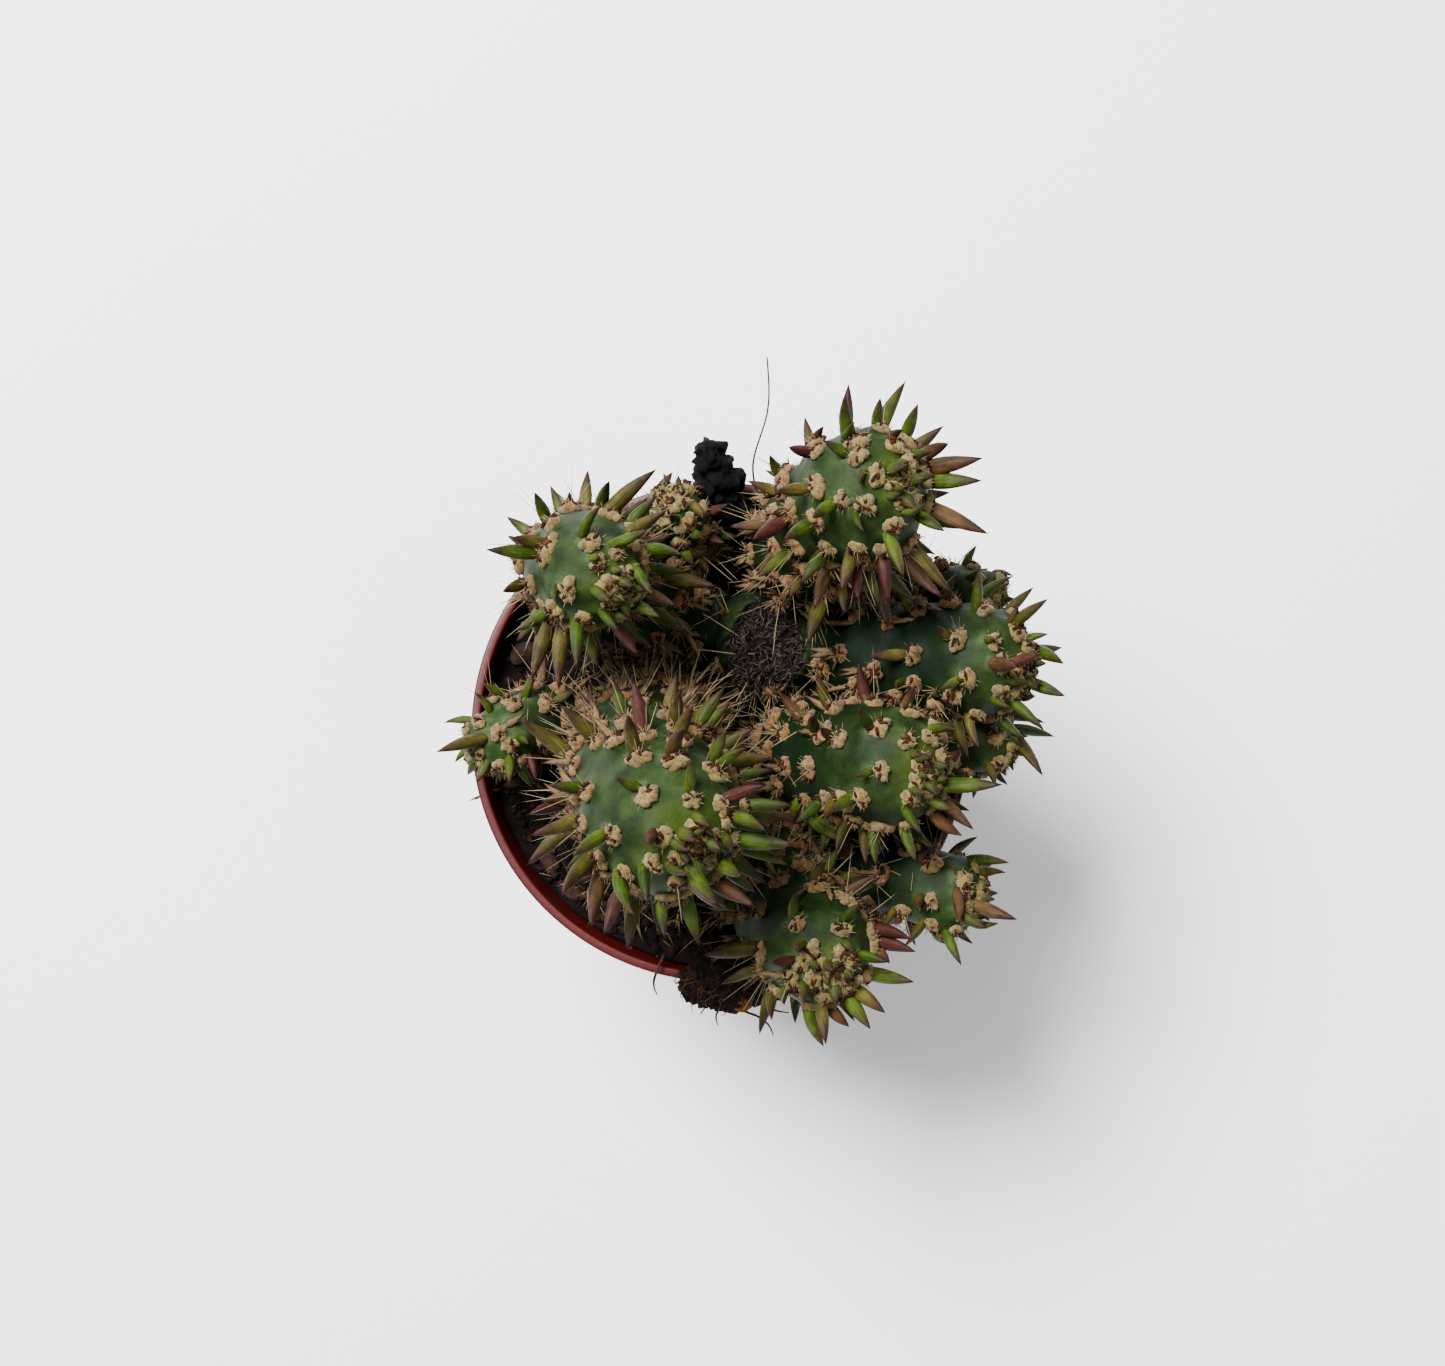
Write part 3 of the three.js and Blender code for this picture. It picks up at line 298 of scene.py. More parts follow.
class Line:
    """A cubic curve, with a side direction that is carried along it without twist."""

    def __init__(self, path):
        self.path = np.array(path, float)
        self.t = np.linspace(0, 1, 201)
        steps = np.linalg.norm(np.diff(self.place(self.t), axis=0), axis=1)
        self.reached = np.concatenate([[0], np.cumsum(steps)])
        self.length = self.reached[-1]
        self.stations = np.linspace(0, self.length, 49)
        self.tangents = unit(self.slope(np.interp(self.stations, self.reached, self.t)))
        side = Vector(self.tangents[0]).cross(Vector((1, 0, 0))).normalized()
        sides = [side.copy()]
        for before, after in zip(self.tangents, self.tangents[1:]):
            side.rotate(Vector(before).rotation_difference(Vector(after)))
            sides.append(side.copy())
        self.sides = np.array(sides)

    def place(self, t):
        """The curve's places."""
        t = t[:, None]
        a, b, c, d = self.path
        return (1 - t) ** 3 * a + 3 * (1 - t) ** 2 * t * b + 3 * (1 - t) * t**2 * c + t**3 * d

    def slope(self, t):
        """The curve's directions, before they are made one long."""
        t = t[:, None]
        a, b, c = np.diff(self.path, axis=0)
        return (1 - t) ** 2 * a + 2 * (1 - t) * t * b + t**2 * c

    def carried(self, s, table):
        """The rows of a table, read at distances along the line."""
        return np.stack([np.interp(s, self.stations, table[:, k]) for k in range(3)], 1)

    def at(self, s):
        """Points, tangents and the two sideways directions at distances along the line."""
        s = np.clip(np.atleast_1d(np.asarray(s, float)), 0, self.length)
        tangent = unit(self.carried(s, self.tangents))
        across = self.carried(s, self.sides)
        across = unit(across - (across * tangent).sum(1, keepdims=True) * tangent)
        point = self.place(np.interp(s, self.reached, self.t))
        return point, tangent, across, np.cross(tangent, across)


class Areole:
    """A woolly seat on a shoot: its number, how far down and how far round it is, and what grows there."""

    def __init__(self, i, down, gap, angle):
        self.i = i
        self.down = down
        self.gap = gap
        self.angle = angle
        self.leaf = None
        self.tip = None
        self.tint = None
        self.seen = i >= FIRST_SEEN


class Shoot:
    """The form of one shoot: its line, its skin and where its areoles sit."""

    def __init__(self, name, radius, turn, leafy, path):
        self.name = name
        self.radius = radius
        self.turn = turn
        self.leafy = leafy
        self.hidden = JOINED if name in ATTACHED else BURIED
        self.line = Line(path)
        self.dome = radius * TIP_HEIGHT
        self.dome_skin = (math.pi / 2) * (radius + self.dome) * 0.5
        self.gap = GROWN_GAP * min(1, 0.5 + 0.06 * radius)
        self.length = self.dome_skin + self.line.length - self.dome
        self.areoles = self.seen_areoles()
        self.areoles += self.spiral()

    def gap_at(self, down):
        """The gap between areoles: small at the tip, and grown where the dome ends."""
        return YOUNG_GAP + (self.gap - YOUNG_GAP) * min(1, down / self.dome_skin)

    def find(self, px, py):
        """The place on the skin, from the tip and round the stem, that shows nearest to a pixel."""
        def miss(down, angle):
            point, normal, _, _ = self.skin(down, angle)
            facing = ((CAMERA_PLACE - point) * normal).sum(1)
            away = np.linalg.norm(in_view(point) - (px, py), axis=1)
            return away + np.where(facing > 0, 0, 1000), point[:, 2]

        downs, angles = np.meshgrid(
            np.arange(0.2, self.length - self.hidden, 0.5), np.radians(np.arange(0, 360, 4)), indexing="ij")
        away, height = miss(downs.ravel(), angles.ravel())
        best = (away - 0.15 * height).argmin()
        down, angle = downs.ravel()[best], angles.ravel()[best]
        for step in (0.25, 0.12, 0.06):
            moves = np.arange(-2, 3) * step
            downs, angles = np.meshgrid(
                np.maximum(0.1, down + moves), angle + moves / self.radius, indexing="ij")
            best = miss(downs.ravel(), angles.ravel())[0].argmin()
            down, angle = downs.ravel()[best], angles.ravel()[best]
        return down, angle

    def seen_areoles(self):
        """The areoles that the photograph shows, each with its leaf's tip and tint where it has one."""
        areoles = []
        for k, (px, py, *leaf) in enumerate(SEEN[self.name]):
            down, angle = self.find(px, py)
            gap = self.gap_at(down)
            a = Areole(FIRST_SEEN + k, down + SEAT_ABOVE * min(1, gap / GROWN_GAP), gap, angle)
            if leaf:
                a.tip = leaf[:2]
                a.tint = leaf[2]
            areoles.append(a)
        return areoles

    def spiral(self):
        """Areoles in a spiral, where the photograph shows none nearby."""
        areoles = []
        seen = np.array([self.skin(a.down, a.angle)[0][0] for a in self.areoles])
        smooth_side = unit(np.array(SMOOTH_SIDE))
        dome_area = 2 * math.pi * self.radius * self.dome
        area = 0
        i = 0
        while True:
            gap = YOUNG_GAP + (self.gap - YOUNG_GAP) * min(1, i / GROWING)
            area += AREA_SHARE * gap * gap
            if area < dome_area:
                down = math.acos(1 - area / dome_area) / (math.pi / 2) * self.dome_skin
            else:
                down = self.dome_skin + (area - dome_area) / (2 * math.pi * self.radius)
            if down > self.length - self.hidden - 1:
                return areoles
            angle = self.turn + i * GOLDEN_ANGLE
            point, normal, _, _ = self.skin(down, angle)
            needed = gap * (SPARE + SMOOTH_SPARE * max(0, normal[0] @ smooth_side))
            if np.linalg.norm(seen - point, axis=1).min() > needed:
                areoles.append(Areole(i, down, gap, angle))
            i += 1

    def skin(self, down, angle):
        """Points, outward and tipward directions and radii of the smooth skin, by distance from the tip."""
        down = np.atleast_1d(np.asarray(down, float))
        angle = np.atleast_1d(np.asarray(angle, float))
        on_dome = np.minimum(down / self.dome_skin, 1) * (math.pi / 2)
        below = np.maximum(0, down - self.dome_skin)
        s = self.line.length - self.dome + self.dome * np.cos(on_dome) - below
        point, tangent, across, over = self.line.at(s)
        outward = across * np.cos(angle)[:, None] + over * np.sin(angle)[:, None]
        neck = NECK_START * self.hidden
        past_neck = smoothstep(s, neck, neck + NECK_LENGTH * self.radius)
        radius = self.radius * (NECK + (1 - NECK) * past_neck) * np.sin(on_dome)
        normal = outward * np.sin(on_dome)[:, None] + tangent * np.cos(on_dome)[:, None]
        tipward = tangent * np.sin(on_dome)[:, None] - outward * np.cos(on_dome)[:, None]
        return point + outward * radius[:, None], normal, tipward, radius

    def rise(self, down, angle, radius):
        """How far the skin rises over the tubercles."""
        total = np.zeros(len(down))
        for a in self.areoles:
            between = np.angle(np.exp(1j * (angle - a.angle)))
            apart = np.hypot(a.down - down, radius * between) / (TUBERCLE_WIDTH * a.gap)
            total += (TUBERCLE * a.gap * np.exp(-(apart**2))) ** 4
        return total**0.25

    def spot(self, a, lift=0.0, up=0.0):
        """One areole's place, outward and tipward directions, on its tubercle."""
        point, normal, tipward, _ = self.skin(a.down - up, a.angle)
        return point[0] + normal[0] * lift, normal[0], tipward[0]


shoots = [Shoot(*facts) for facts in SHOOTS]
stub_line = Line(STUB_PATH)


def stump_x(z):
    return STUMP["x"] + STUMP["lean"] * (z - SOIL_LEVEL)


def soil_height(x, y):
    """The peat's height: low waves, and the mound at the front."""
    broad = 0.55 * math.sin(0.55 * x + 0.9) * math.cos(0.48 * y - 0.4)
    fine = 0.35 * math.sin(0.9 * y + 0.35 * x + 2)
    from_mound = (x - MOUND["x"]) ** 2 + (y - MOUND["y"]) ** 2
    return SOIL_LEVEL + broad + fine + MOUND["rise"] * math.exp(-from_mound / (2 * MOUND["spread"] ** 2))


def pot_inner(z):
    """The radius of the pot's inner face at a height: the plain wall, then a ledge, then the collar."""
    collar_foot = WALL_TOP_RADIUS + COLLAR_STEP - WALL
    if z < WALL_TOP:
        return FOOT_RADIUS - WALL + (WALL_TOP_RADIUS - FOOT_RADIUS) * (z / WALL_TOP)
    return collar_foot + (RIM_RADIUS - LIP_WIDTH - collar_foot) * (z - WALL_TOP) / COLLAR_HEIGHT


class Crowd:
    """What a leaf or a spine stays clear of: balls along every body, and the pieces placed before it."""

    ALONG = np.array([0, 0.2, 0.4, 0.6, 0.8, 1])[:, None]

    def __init__(self):
        self.points = []
        self.radii = []
        self.owners = []
        self.pieces = np.zeros((6000, 6, 3))
        self.thick = np.zeros(6000)
        self.piece_owners = []

    def add_ball(self, owner, point, radius):
        self.points.append(point)
        self.radii.append(radius)
        self.owners.append(owner)

    def settle(self):
        self.points = np.array(self.points, float)
        self.radii = np.array(self.radii, float)
        self.owners = np.array(self.owners)

    def near_pot_or_peat(self, p, spare):
        """Whether a place is too near the rim, or too low over the peat."""
        out = math.hypot(p[0], p[1])
        if out > RIM_RADIUS + spare:
            return False
        over_rim = out > pot_inner(POT_HEIGHT) - spare
        return p[2] < (POT_HEIGHT if over_rim else soil_height(p[0], p[1])) + spare

    def clear_of_bodies(self, owner, foot, direction, length, thickness):
        """Whether a piece stays clear of every body but its own."""
        points = foot + direction * self.ALONG[1:] * length
        if any(self.near_pot_or_peat(p, thickness + ROOM) for p in points):
            return False
        others = self.owners != owner
        away = np.linalg.norm(points[:, None] - self.points[others][None], axis=2)
        return not (away < self.radii[others] + thickness + 2 * ROOM).any()

    def clear(self, owner, foot, direction, length, thickness):
        """Whether a piece stays clear of the bodies and of the pieces on other bodies."""
        if not self.clear_of_bodies(owner, foot, direction, length, thickness):
            return False
        n = len(self.piece_owners)
        others = np.array(self.piece_owners) != owner if n else np.zeros(0, bool)
        if not others.any():
            return True
        points = foot + direction * self.ALONG * length
        theirs = self.pieces[:n][others]
        near = np.linalg.norm(theirs[:, 0] - foot, axis=1) < 26
        away = np.linalg.norm(theirs[near][:, :, None] - points[None, None], axis=3)
        return not (away < (thickness + ROOM + self.thick[:n][others][near])[:, None, None]).any()

    BENDS = [
        (0, 0, 1), (0.35, 0, 1), (-0.3, 0, 1), (0, 0.4, 1), (0, -0.4, 1),
        (0.5, 0.4, 0.85), (0.5, -0.4, 0.85), (0.3, 0, 0.65),
    ]

    def fit(self, owner, foot, wanted, tipward, full_length, thickness):
        """Bends a piece clear of what is round it: a direction and a length, or None."""
        aside = unit(np.cross(wanted, tipward))
        for lift, sideways, share in self.BENDS:
            direction = unit(wanted + tipward * lift + aside * sideways)
            length = full_length * share
            if not self.clear(owner, foot, direction, length, thickness):
                continue
            n = len(self.piece_owners)
            self.pieces[n] = foot + direction * self.ALONG * length
            self.thick[n] = thickness
            self.piece_owners.append(owner)
            return direction, length
        return None


crowd = Crowd()
for shoot in shoots:
    start = 0.4 * shoot.dome_skin
    for k in range(31):
        down = start + k / 30 * (shoot.length - start)
        on_dome = min(down / shoot.dome_skin, 1) * (math.pi / 2)
        s = shoot.line.length - shoot.dome + shoot.dome * math.cos(on_dome) - max(0, down - shoot.dome_skin)
        crowd.add_ball(shoot.name, shoot.line.at(s)[0][0], shoot.skin(down, 0)[3][0])
for z in range(STUMP["foot"], STUMP["top"] - 3, 2):
    crowd.add_ball("main_stem", (stump_x(z), STUMP["y"], z), STUMP["radius"])
for s in np.arange(0, stub_line.length, 2):
    crowd.add_ball("dead_stub", stub_line.at(s)[0][0], 3)
for chip in CHIPS:
    crowd.add_ball(chip["name"], (chip["x"], chip["y"], soil_height(chip["x"], chip["y"])), chip["half"][0])
for p in FIBRE_PATH:
    crowd.add_ball("dry_fibre", p, 1.5)
crowd.add_ball("soil", (SPILL["x"], SPILL["y"], POT_HEIGHT), SPILL["width"] + 1)
crowd.settle()


# How deep and vivid the colours are set, so that they show right in a light that makes the floor white
DEPTH = 0.27
VIVID = 1.4

# How much a finish mirrors, unless it says otherwise
MATT = 0.12


# Node groups that several materials share

def new_group(name, sockets_in, sockets_out):
    """An empty node group with its inputs and outputs."""
    group = bpy.data.node_groups.new(name, "ShaderNodeTree")
    for label, kind, value in sockets_in:
        socket = group.interface.new_socket(label, in_out="INPUT", socket_type=kind)
        socket.default_value = value
    for label, kind in sockets_out:
        group.interface.new_socket(label, in_out="OUTPUT", socket_type=kind)
    return group, group.nodes.new("NodeGroupInput"), group.nodes.new("NodeGroupOutput")


def put(tree, kind, links=(), **settings):
    """A new node, its settings and its links: each link is (input, output socket or value)."""
    node = tree.nodes.new(kind)
    for name, value in settings.items():
        setattr(node, name, value)
    for key, source in links:
        if isinstance(source, bpy.types.NodeSocket):
            tree.links.new(source, node.inputs[key])
        else:
            node.inputs[key].default_value = source
    return node


def mix(tree, factor, a, b, mode="MIX"):
    """One colour over another."""
    node = put(tree, "ShaderNodeMix", data_type="RGBA", blend_type=mode)
    for key, source in ((0, factor), (6, a), (7, b)):
        if isinstance(source, bpy.types.NodeSocket):
            tree.links.new(source, node.inputs[key])
        else:
            node.inputs[key].default_value = source
    return node.outputs[2]


def attribute(tree, name):
    """What the points of a piece carry under a name."""
    return put(tree, "ShaderNodeAttribute", attribute_name=name).outputs["Fac"]


def grey(tree, value):
    """A value as a colour."""
    return put(tree, "ShaderNodeCombineColor", links=[(0, value), (1, value), (2, value)]).outputs[0]


def worked_out(tree, operation, *values):
    """The outcome of a sum on values."""
    return put(tree, "ShaderNodeMath", operation=operation, links=list(enumerate(values))).outputs[0]


def ramp(tree, value, low, high, to_low=0.0, to_high=1.0):
    """A value from one range to another, eased."""
    node = put(
        tree, "ShaderNodeMapRange", interpolation_type="SMOOTHSTEP",
        links=[(0, value), (1, low), (2, high), (3, to_low), (4, to_high)],
    )
    return node.outputs[0]


def colour(red, green, blue):
    """A colour given in screen values, as deep and as vivid as the studio light asks for."""
    light = [DEPTH * (c / 255) ** 2.2 for c in (red, green, blue)]
    grey = 0.3 * light[0] + 0.6 * light[1] + 0.1 * light[2]
    return tuple(max(0.001, grey + VIVID * (c - grey)) for c in light) + (1,)


def mottle_group():
    """Two colours in soft patches with fine grain over them, and a height for a bump."""
    group, given, out = new_group(
        "mottle",
        [
            ("Dark", "NodeSocketColor", (0, 0, 0, 1)), ("Light", "NodeSocketColor", (1, 1, 1, 1)),
            ("Patch Scale", "NodeSocketFloat", 200.0), ("Grain Scale", "NodeSocketFloat", 1500.0),
            ("Grain", "NodeSocketFloat", 0.3),
        ],
        [("Color", "NodeSocketColor"), ("Height", "NodeSocketFloat")],
    )
    here = put(group, "ShaderNodeTexCoord").outputs["Object"]
    patch = put(
        group, "ShaderNodeTexNoise",
        links=[("Vector", here), ("Scale", given.outputs["Patch Scale"]), ("Detail", 3.0)],
    )
    grain = put(
        group, "ShaderNodeTexNoise",
        links=[("Vector", here), ("Scale", given.outputs["Grain Scale"]), ("Detail", 5.0),
               ("Roughness", 0.65)],
    )
    spread = ramp(group, patch.outputs[0], 0.34, 0.66)
    patched = mix(group, spread, given.outputs["Dark"], given.outputs["Light"])
    fine = ramp(group, grain.outputs[0], 0.3, 0.72)
    deep = mix(group, given.outputs["Grain"], (1, 1, 1, 1), grey(group, fine))
    group.links.new(mix(group, 1.0, patched, deep, "MULTIPLY"), out.inputs["Color"])
    group.links.new(grain.outputs[0], out.inputs["Height"])
    return group


def fade_group():
    """A fresh colour that turns to an old one with age, and to a tip colour towards a piece's tip."""
    group, given, out = new_group(
        "aged_to_the_tip",
        [
            ("Fresh", "NodeSocketColor", (0, 1, 0, 1)), ("Old", "NodeSocketColor", (1, 0.5, 0, 1)),
            ("Tip", "NodeSocketColor", (0.1, 0, 0, 1)), ("Tip Start", "NodeSocketFloat", 0.75),
        ],
        [("Color", "NodeSocketColor")],
    )
    along = attribute(group, "along")
    age = attribute(group, "age")
    tone = attribute(group, "tone")
    body = mix(group, ramp(group, age, 0.82, 1.0), given.outputs["Fresh"], given.outputs["Old"])
    early = worked_out(group, "MULTIPLY_ADD", age, -0.25, given.outputs["Tip Start"])
    start = worked_out(group, "MULTIPLY_ADD", tone, -0.18, early)
    tipped = mix(group, ramp(group, along, start, 1.02), body, given.outputs["Tip"])
    group.links.new(tipped, out.inputs["Color"])
    return group


def tone_group():
    """Scales a colour's brightness by each copy's own tone."""
    group, given, out = new_group(
        "toned",
        [("Color", "NodeSocketColor", (1, 1, 1, 1)), ("Low", "NodeSocketFloat", 0.6),
         ("High", "NodeSocketFloat", 1.3)],
        [("Color", "NodeSocketColor")],
    )
    tone = attribute(group, "tone")
    scale = put(group, "ShaderNodeMapRange",
                links=[(0, tone), (3, given.outputs["Low"]), (4, given.outputs["High"])]).outputs[0]
    scaled = put(group, "ShaderNodeVectorMath", operation="SCALE",
                 links=[(0, given.outputs["Color"]), ("Scale", scale)]).outputs[0]
    group.links.new(scaled, out.inputs["Color"])
    return group


def streak_group():
    """Fine wrinkles along a leaf, from its own round and long directions: a shade and a height."""
    group, given, out = new_group(
        "streaks",
        [("Scale", "NodeSocketFloat", 5.0)],
        [("Color", "NodeSocketColor"), ("Height", "NodeSocketFloat")],
    )
    side, front, along, tone = (attribute(group, name) for name in ("side", "front", "along", "tone"))
    slow = worked_out(group, "MULTIPLY", along, 0.3)
    own = worked_out(group, "MULTIPLY_ADD", tone, 9.0, slow)
    place = put(group, "ShaderNodeCombineXYZ", links=[(0, side), (1, front), (2, own)]).outputs[0]
    wrinkle = put(group, "ShaderNodeTexNoise",
                  links=[("Vector", place), ("Scale", given.outputs["Scale"]), ("Detail", 3.0)]).outputs[0]
    shade = ramp(group, wrinkle, 0.32, 0.68, 0.55, 1.12)
    group.links.new(grey(group, shade), out.inputs["Color"])
    group.links.new(wrinkle, out.inputs["Height"])
    return group


MOTTLE = mottle_group()
FADE = fade_group()
TONED = tone_group()
STREAKS = streak_group()


def use(tree, group, **values):
    """Places a group, with its inputs set or linked by name; underscores stand for spaces."""
    node = tree.nodes.new("ShaderNodeGroup")
    node.node_tree = group
    for name, value in values.items():
        socket = node.inputs[name.replace("_", " ")]
        if isinstance(value, bpy.types.NodeSocket):
            tree.links.new(value, socket)
        else:
            socket.default_value = value
    return node


def new_material(name, roughness, **constants):
    """A material, its nodes and its shader, with values for the shader's inputs by name."""
    material = bpy.data.materials.new(name)
    material.use_nodes = True
    tree = material.node_tree
    shader = tree.nodes["Principled BSDF"]
    shader.inputs["Roughness"].default_value = roughness
    shader.inputs["Specular IOR Level"].default_value = MATT
    for key, value in constants.items():
        shader.inputs[key.replace("_", " ")].default_value = value
    return material, tree, shader


def bump(tree, shader, height, strength, distance):
    """Roughens a finish by a height."""
    node = put(tree, "ShaderNodeBump",
               links=[("Height", height), ("Strength", strength), ("Distance", distance)])
    tree.links.new(node.outputs[0], shader.inputs["Normal"])


def skin_material():
    """Green waxy skin: pale with bloom on the tubercles and darker in the hollows between them as painted
    shade, fresh at the tip, and darker towards the root as painted shade, the more so on the shoots in the
    shade of others.
    """
    material, tree, shader = new_material("waxy_skin", 0.6, Specular_IOR_Level=0.1)
    base = use(tree, MOTTLE, Dark=colour(34, 52, 30), Light=colour(68, 88, 50),
               Patch_Scale=230.0, Grain_Scale=1500.0, Grain=0.42)
    bloom = use(tree, MOTTLE, Dark=colour(78, 98, 64), Light=colour(132, 148, 112),
                Patch_Scale=420.0, Grain_Scale=1900.0, Grain=0.22)
    high = attribute(tree, "high")
    age = attribute(tree, "age")
    dull = attribute(tree, "dull")
    # Pale bloom on the tubercles, with painted shade in the darker hollows between them
    pale = mix(tree, ramp(tree, high, 0.05, 0.9, 0.12, 0.72), base.outputs[0], bloom.outputs[0])
    young = mix(tree, ramp(tree, age, 0.0, 0.13, 0.55, 0.0), pale, colour(112, 126, 62))
    # Darker towards the root: painted shade
    old = mix(tree, ramp(tree, age, 0.3, 0.9, 0.0, 0.9), young, colour(28, 42, 20))
    # More painted shade on the shoots that stand in the shade of others
    shaded = mix(tree, dull, old, colour(24, 42, 20))
    tree.links.new(shaded, shader.inputs["Base Color"])
    bump(tree, shader, base.outputs[1], 0.35, 0.0003)
    return material


def leaf_material():
    """Awl leaves: green to olive, brown or red-brown as each dries, dark purple-brown at the tip."""
    material, tree, shader = new_material("leaf", 0.58, Specular_IOR_Level=0.13)
    tone = attribute(tree, "tone")
    age = attribute(tree, "age")
    green = mix(tree, tone, colour(82, 104, 54), colour(122, 140, 80))
    olive = mix(tree, tone, colour(102, 98, 60), colour(142, 132, 88))
    brown = mix(tree, tone, colour(108, 84, 66), colour(150, 124, 94))
    fresh = mix(tree, ramp(tree, age, 0.0, 0.05), colour(108, 120, 74), green)
    turning = mix(tree, ramp(tree, age, 0.1, 0.45), fresh, olive)
    dry = mix(tree, ramp(tree, age, 0.5, 0.8), turning, brown)
    faded = use(tree, FADE, Fresh=dry, Old=mix(tree, tone, colour(96, 58, 54), colour(132, 90, 80)),
                Tip=colour(76, 46, 44), Tip_Start=0.46)
    grain = use(tree, MOTTLE, Dark=(0.66, 0.66, 0.66, 1), Light=(1.15, 1.15, 1.15, 1),
                Patch_Scale=420.0, Grain_Scale=2400.0, Grain=0.25)
    grained = mix(tree, 1.0, faded.outputs[0], grain.outputs[0], "MULTIPLY")
    streak = use(tree, STREAKS, Scale=5.0)
    tree.links.new(mix(tree, 0.75, grained, streak.outputs[0], "MULTIPLY"), shader.inputs["Base Color"])
    bump(tree, shader, streak.outputs[1], 0.4, 0.0003)
    return material


def withered_material():
    """Dried leaves: straw, tan and brown, wrinkled along their length, with a dark end."""
    material, tree, shader = new_material("withered_leaf", 0.75)
    faded = use(tree, FADE, Fresh=colour(168, 144, 116), Old=colour(106, 84, 68), Tip=colour(80, 56, 48),
                Tip_Start=0.75)
    streak = use(tree, STREAKS, Scale=7.0)
    tinted = mix(tree, 0.9, faded.outputs[0], streak.outputs[0], "MULTIPLY")
    tree.links.new(use(tree, TONED, Color=tinted, Low=0.6, High=1.3).outputs[0], shader.inputs["Base Color"])
    bump(tree, shader, streak.outputs[1], 0.7, 0.0004)
    return material


def wool_material():
    """Felted wool of the areoles: cream when young, tan when old, with a fine matted grain."""
    material, tree, shader = new_material("areole_wool", 0.95, Sheen_Weight=0.15, Specular_IOR_Level=0.1)
    age = attribute(tree, "age")
    tint = mix(tree, ramp(tree, age, 0.0, 0.85), colour(212, 194, 142), colour(198, 158, 118))
    grain = use(tree, MOTTLE, Dark=(0.6, 0.54, 0.47, 1), Light=(1.18, 1.15, 1.1, 1),
                Patch_Scale=1000.0, Grain_Scale=3600.0, Grain=0.45)
    woolly = mix(tree, 1.0, tint, grain.outputs[0], "MULTIPLY")
    tree.links.new(use(tree, TONED, Color=woolly, Low=0.8, High=1.15).outputs[0], shader.inputs["Base Color"])
    bump(tree, shader, grain.outputs[1], 0.9, 0.0004)
    return material


def needle_material(name, root, tip, roughness):
    """Bristles and spines: one colour that pales or darkens towards the point."""
    material, tree, shader = new_material(name, roughness)
    along = attribute(tree, "along")
    run = mix(tree, ramp(tree, along, 0.1, 0.9), root, tip)
    tree.links.new(use(tree, TONED, Color=run, Low=0.65, High=1.2).outputs[0], shader.inputs["Base Color"])
    return material


def grainy_material(name, dark, light, roughness, patch, grain, depth, height, toned=None, **constants):
    """Peat, cork, wood, grit and moulded plastic: mottled, with a fine bump."""
    material, tree, shader = new_material(name, roughness, **constants)
    base = use(tree, MOTTLE, Dark=dark, Light=light, Patch_Scale=patch, Grain_Scale=grain, Grain=depth)
    shade = base.outputs[0]
    if toned:
        shade = use(tree, TONED, Color=shade, Low=toned[0], High=toned[1]).outputs[0]
    tree.links.new(shade, shader.inputs["Base Color"])
    bump(tree, shader, base.outputs[1], height, 0.0004)
    return material


def old_skin_material():
    """The cut-back stem: dark, matt green skin, brown and cracked towards its cut top."""
    material, tree, shader = new_material("old_skin", 0.7)
    green = use(tree, MOTTLE, Dark=colour(30, 44, 26), Light=colour(64, 80, 48),
                Patch_Scale=240.0, Grain_Scale=1200.0, Grain=0.4)
    scab = use(tree, MOTTLE, Dark=colour(20, 15, 13), Light=colour(46, 37, 32),
               Patch_Scale=420.0, Grain_Scale=1700.0, Grain=0.6)
    cut = attribute(tree, "high")
    both = mix(tree, ramp(tree, cut, 0.35, 0.65), green.outputs[0], scab.outputs[0])
    tree.links.new(both, shader.inputs["Base Color"])
    bump(tree, shader, scab.outputs[1], 0.6, 0.0006)
    return material


SKIN = skin_material()
LEAF = leaf_material()
WITHERED = withered_material()
WOOL = wool_material()
PIP = grainy_material("dark_scale", colour(52, 30, 20), colour(94, 58, 38), 0.8, 700.0, 2500.0, 0.3, 0.3)
BRISTLE = needle_material("bristle", colour(164, 134, 104), colour(216, 196, 160), 0.6)
SPINE = needle_material("spine", colour(196, 172, 130), colour(224, 212, 186), 0.5)
POT = grainy_material("pot_plastic", colour(100, 29, 23), colour(108, 32, 25), 0.42, 60.0, 900.0, 0.15, 0.1,
                      Specular_IOR_Level=0.3)
PEAT = grainy_material("peat", colour(22, 15, 15), colour(44, 32, 30), 0.95, 500.0, 1800.0, 0.6, 1.0,
                       Specular_IOR_Level=0.1)
CRUMB = grainy_material("peat_crumb", colour(26, 18, 17), colour(58, 42, 38), 0.95, 500.0, 2200.0, 0.5, 0.8,
                        (0.5, 1.7), Specular_IOR_Level=0.1)
SHRED = needle_material("scab_shred", colour(40, 33, 30), colour(122, 108, 100), 0.9)
OLD_SKIN = old_skin_material()
DEAD = grainy_material("dead_shoot", colour(9, 7, 8), colour(28, 22, 23), 0.85, 300.0, 1500.0, 0.6, 1.0,
                       Specular_IOR_Level=0.1)
WOOD = grainy_material("raw_wood", colour(136, 92, 56), colour(178, 134, 86), 0.8, 300.0, 1600.0, 0.35, 0.5)
GRIT = grainy_material("grit", colour(58, 44, 40), colour(86, 68, 60), 0.85, 400.0, 1900.0, 0.4, 0.6)
DRY_FIBRE = grainy_material("dry_fibre", colour(96, 92, 84), colour(136, 130, 120), 0.7, 300.0, 1500.0,
                            0.2, 0.1)
ROOT_TAN = grainy_material("root_tan", colour(58, 42, 34), colour(104, 80, 62), 0.85, 300.0, 1500.0, 0.3, 0.3)
BARK = grainy_material("bark_flake", colour(52, 36, 28), colour(96, 72, 58), 0.9, 400.0, 1800.0, 0.4, 0.6,
                       (0.5, 1.6))


# Making and finishing pieces, and what each copy of a small shape carries at its points
LAYERS = ("along", "side", "front", "tone", "age")


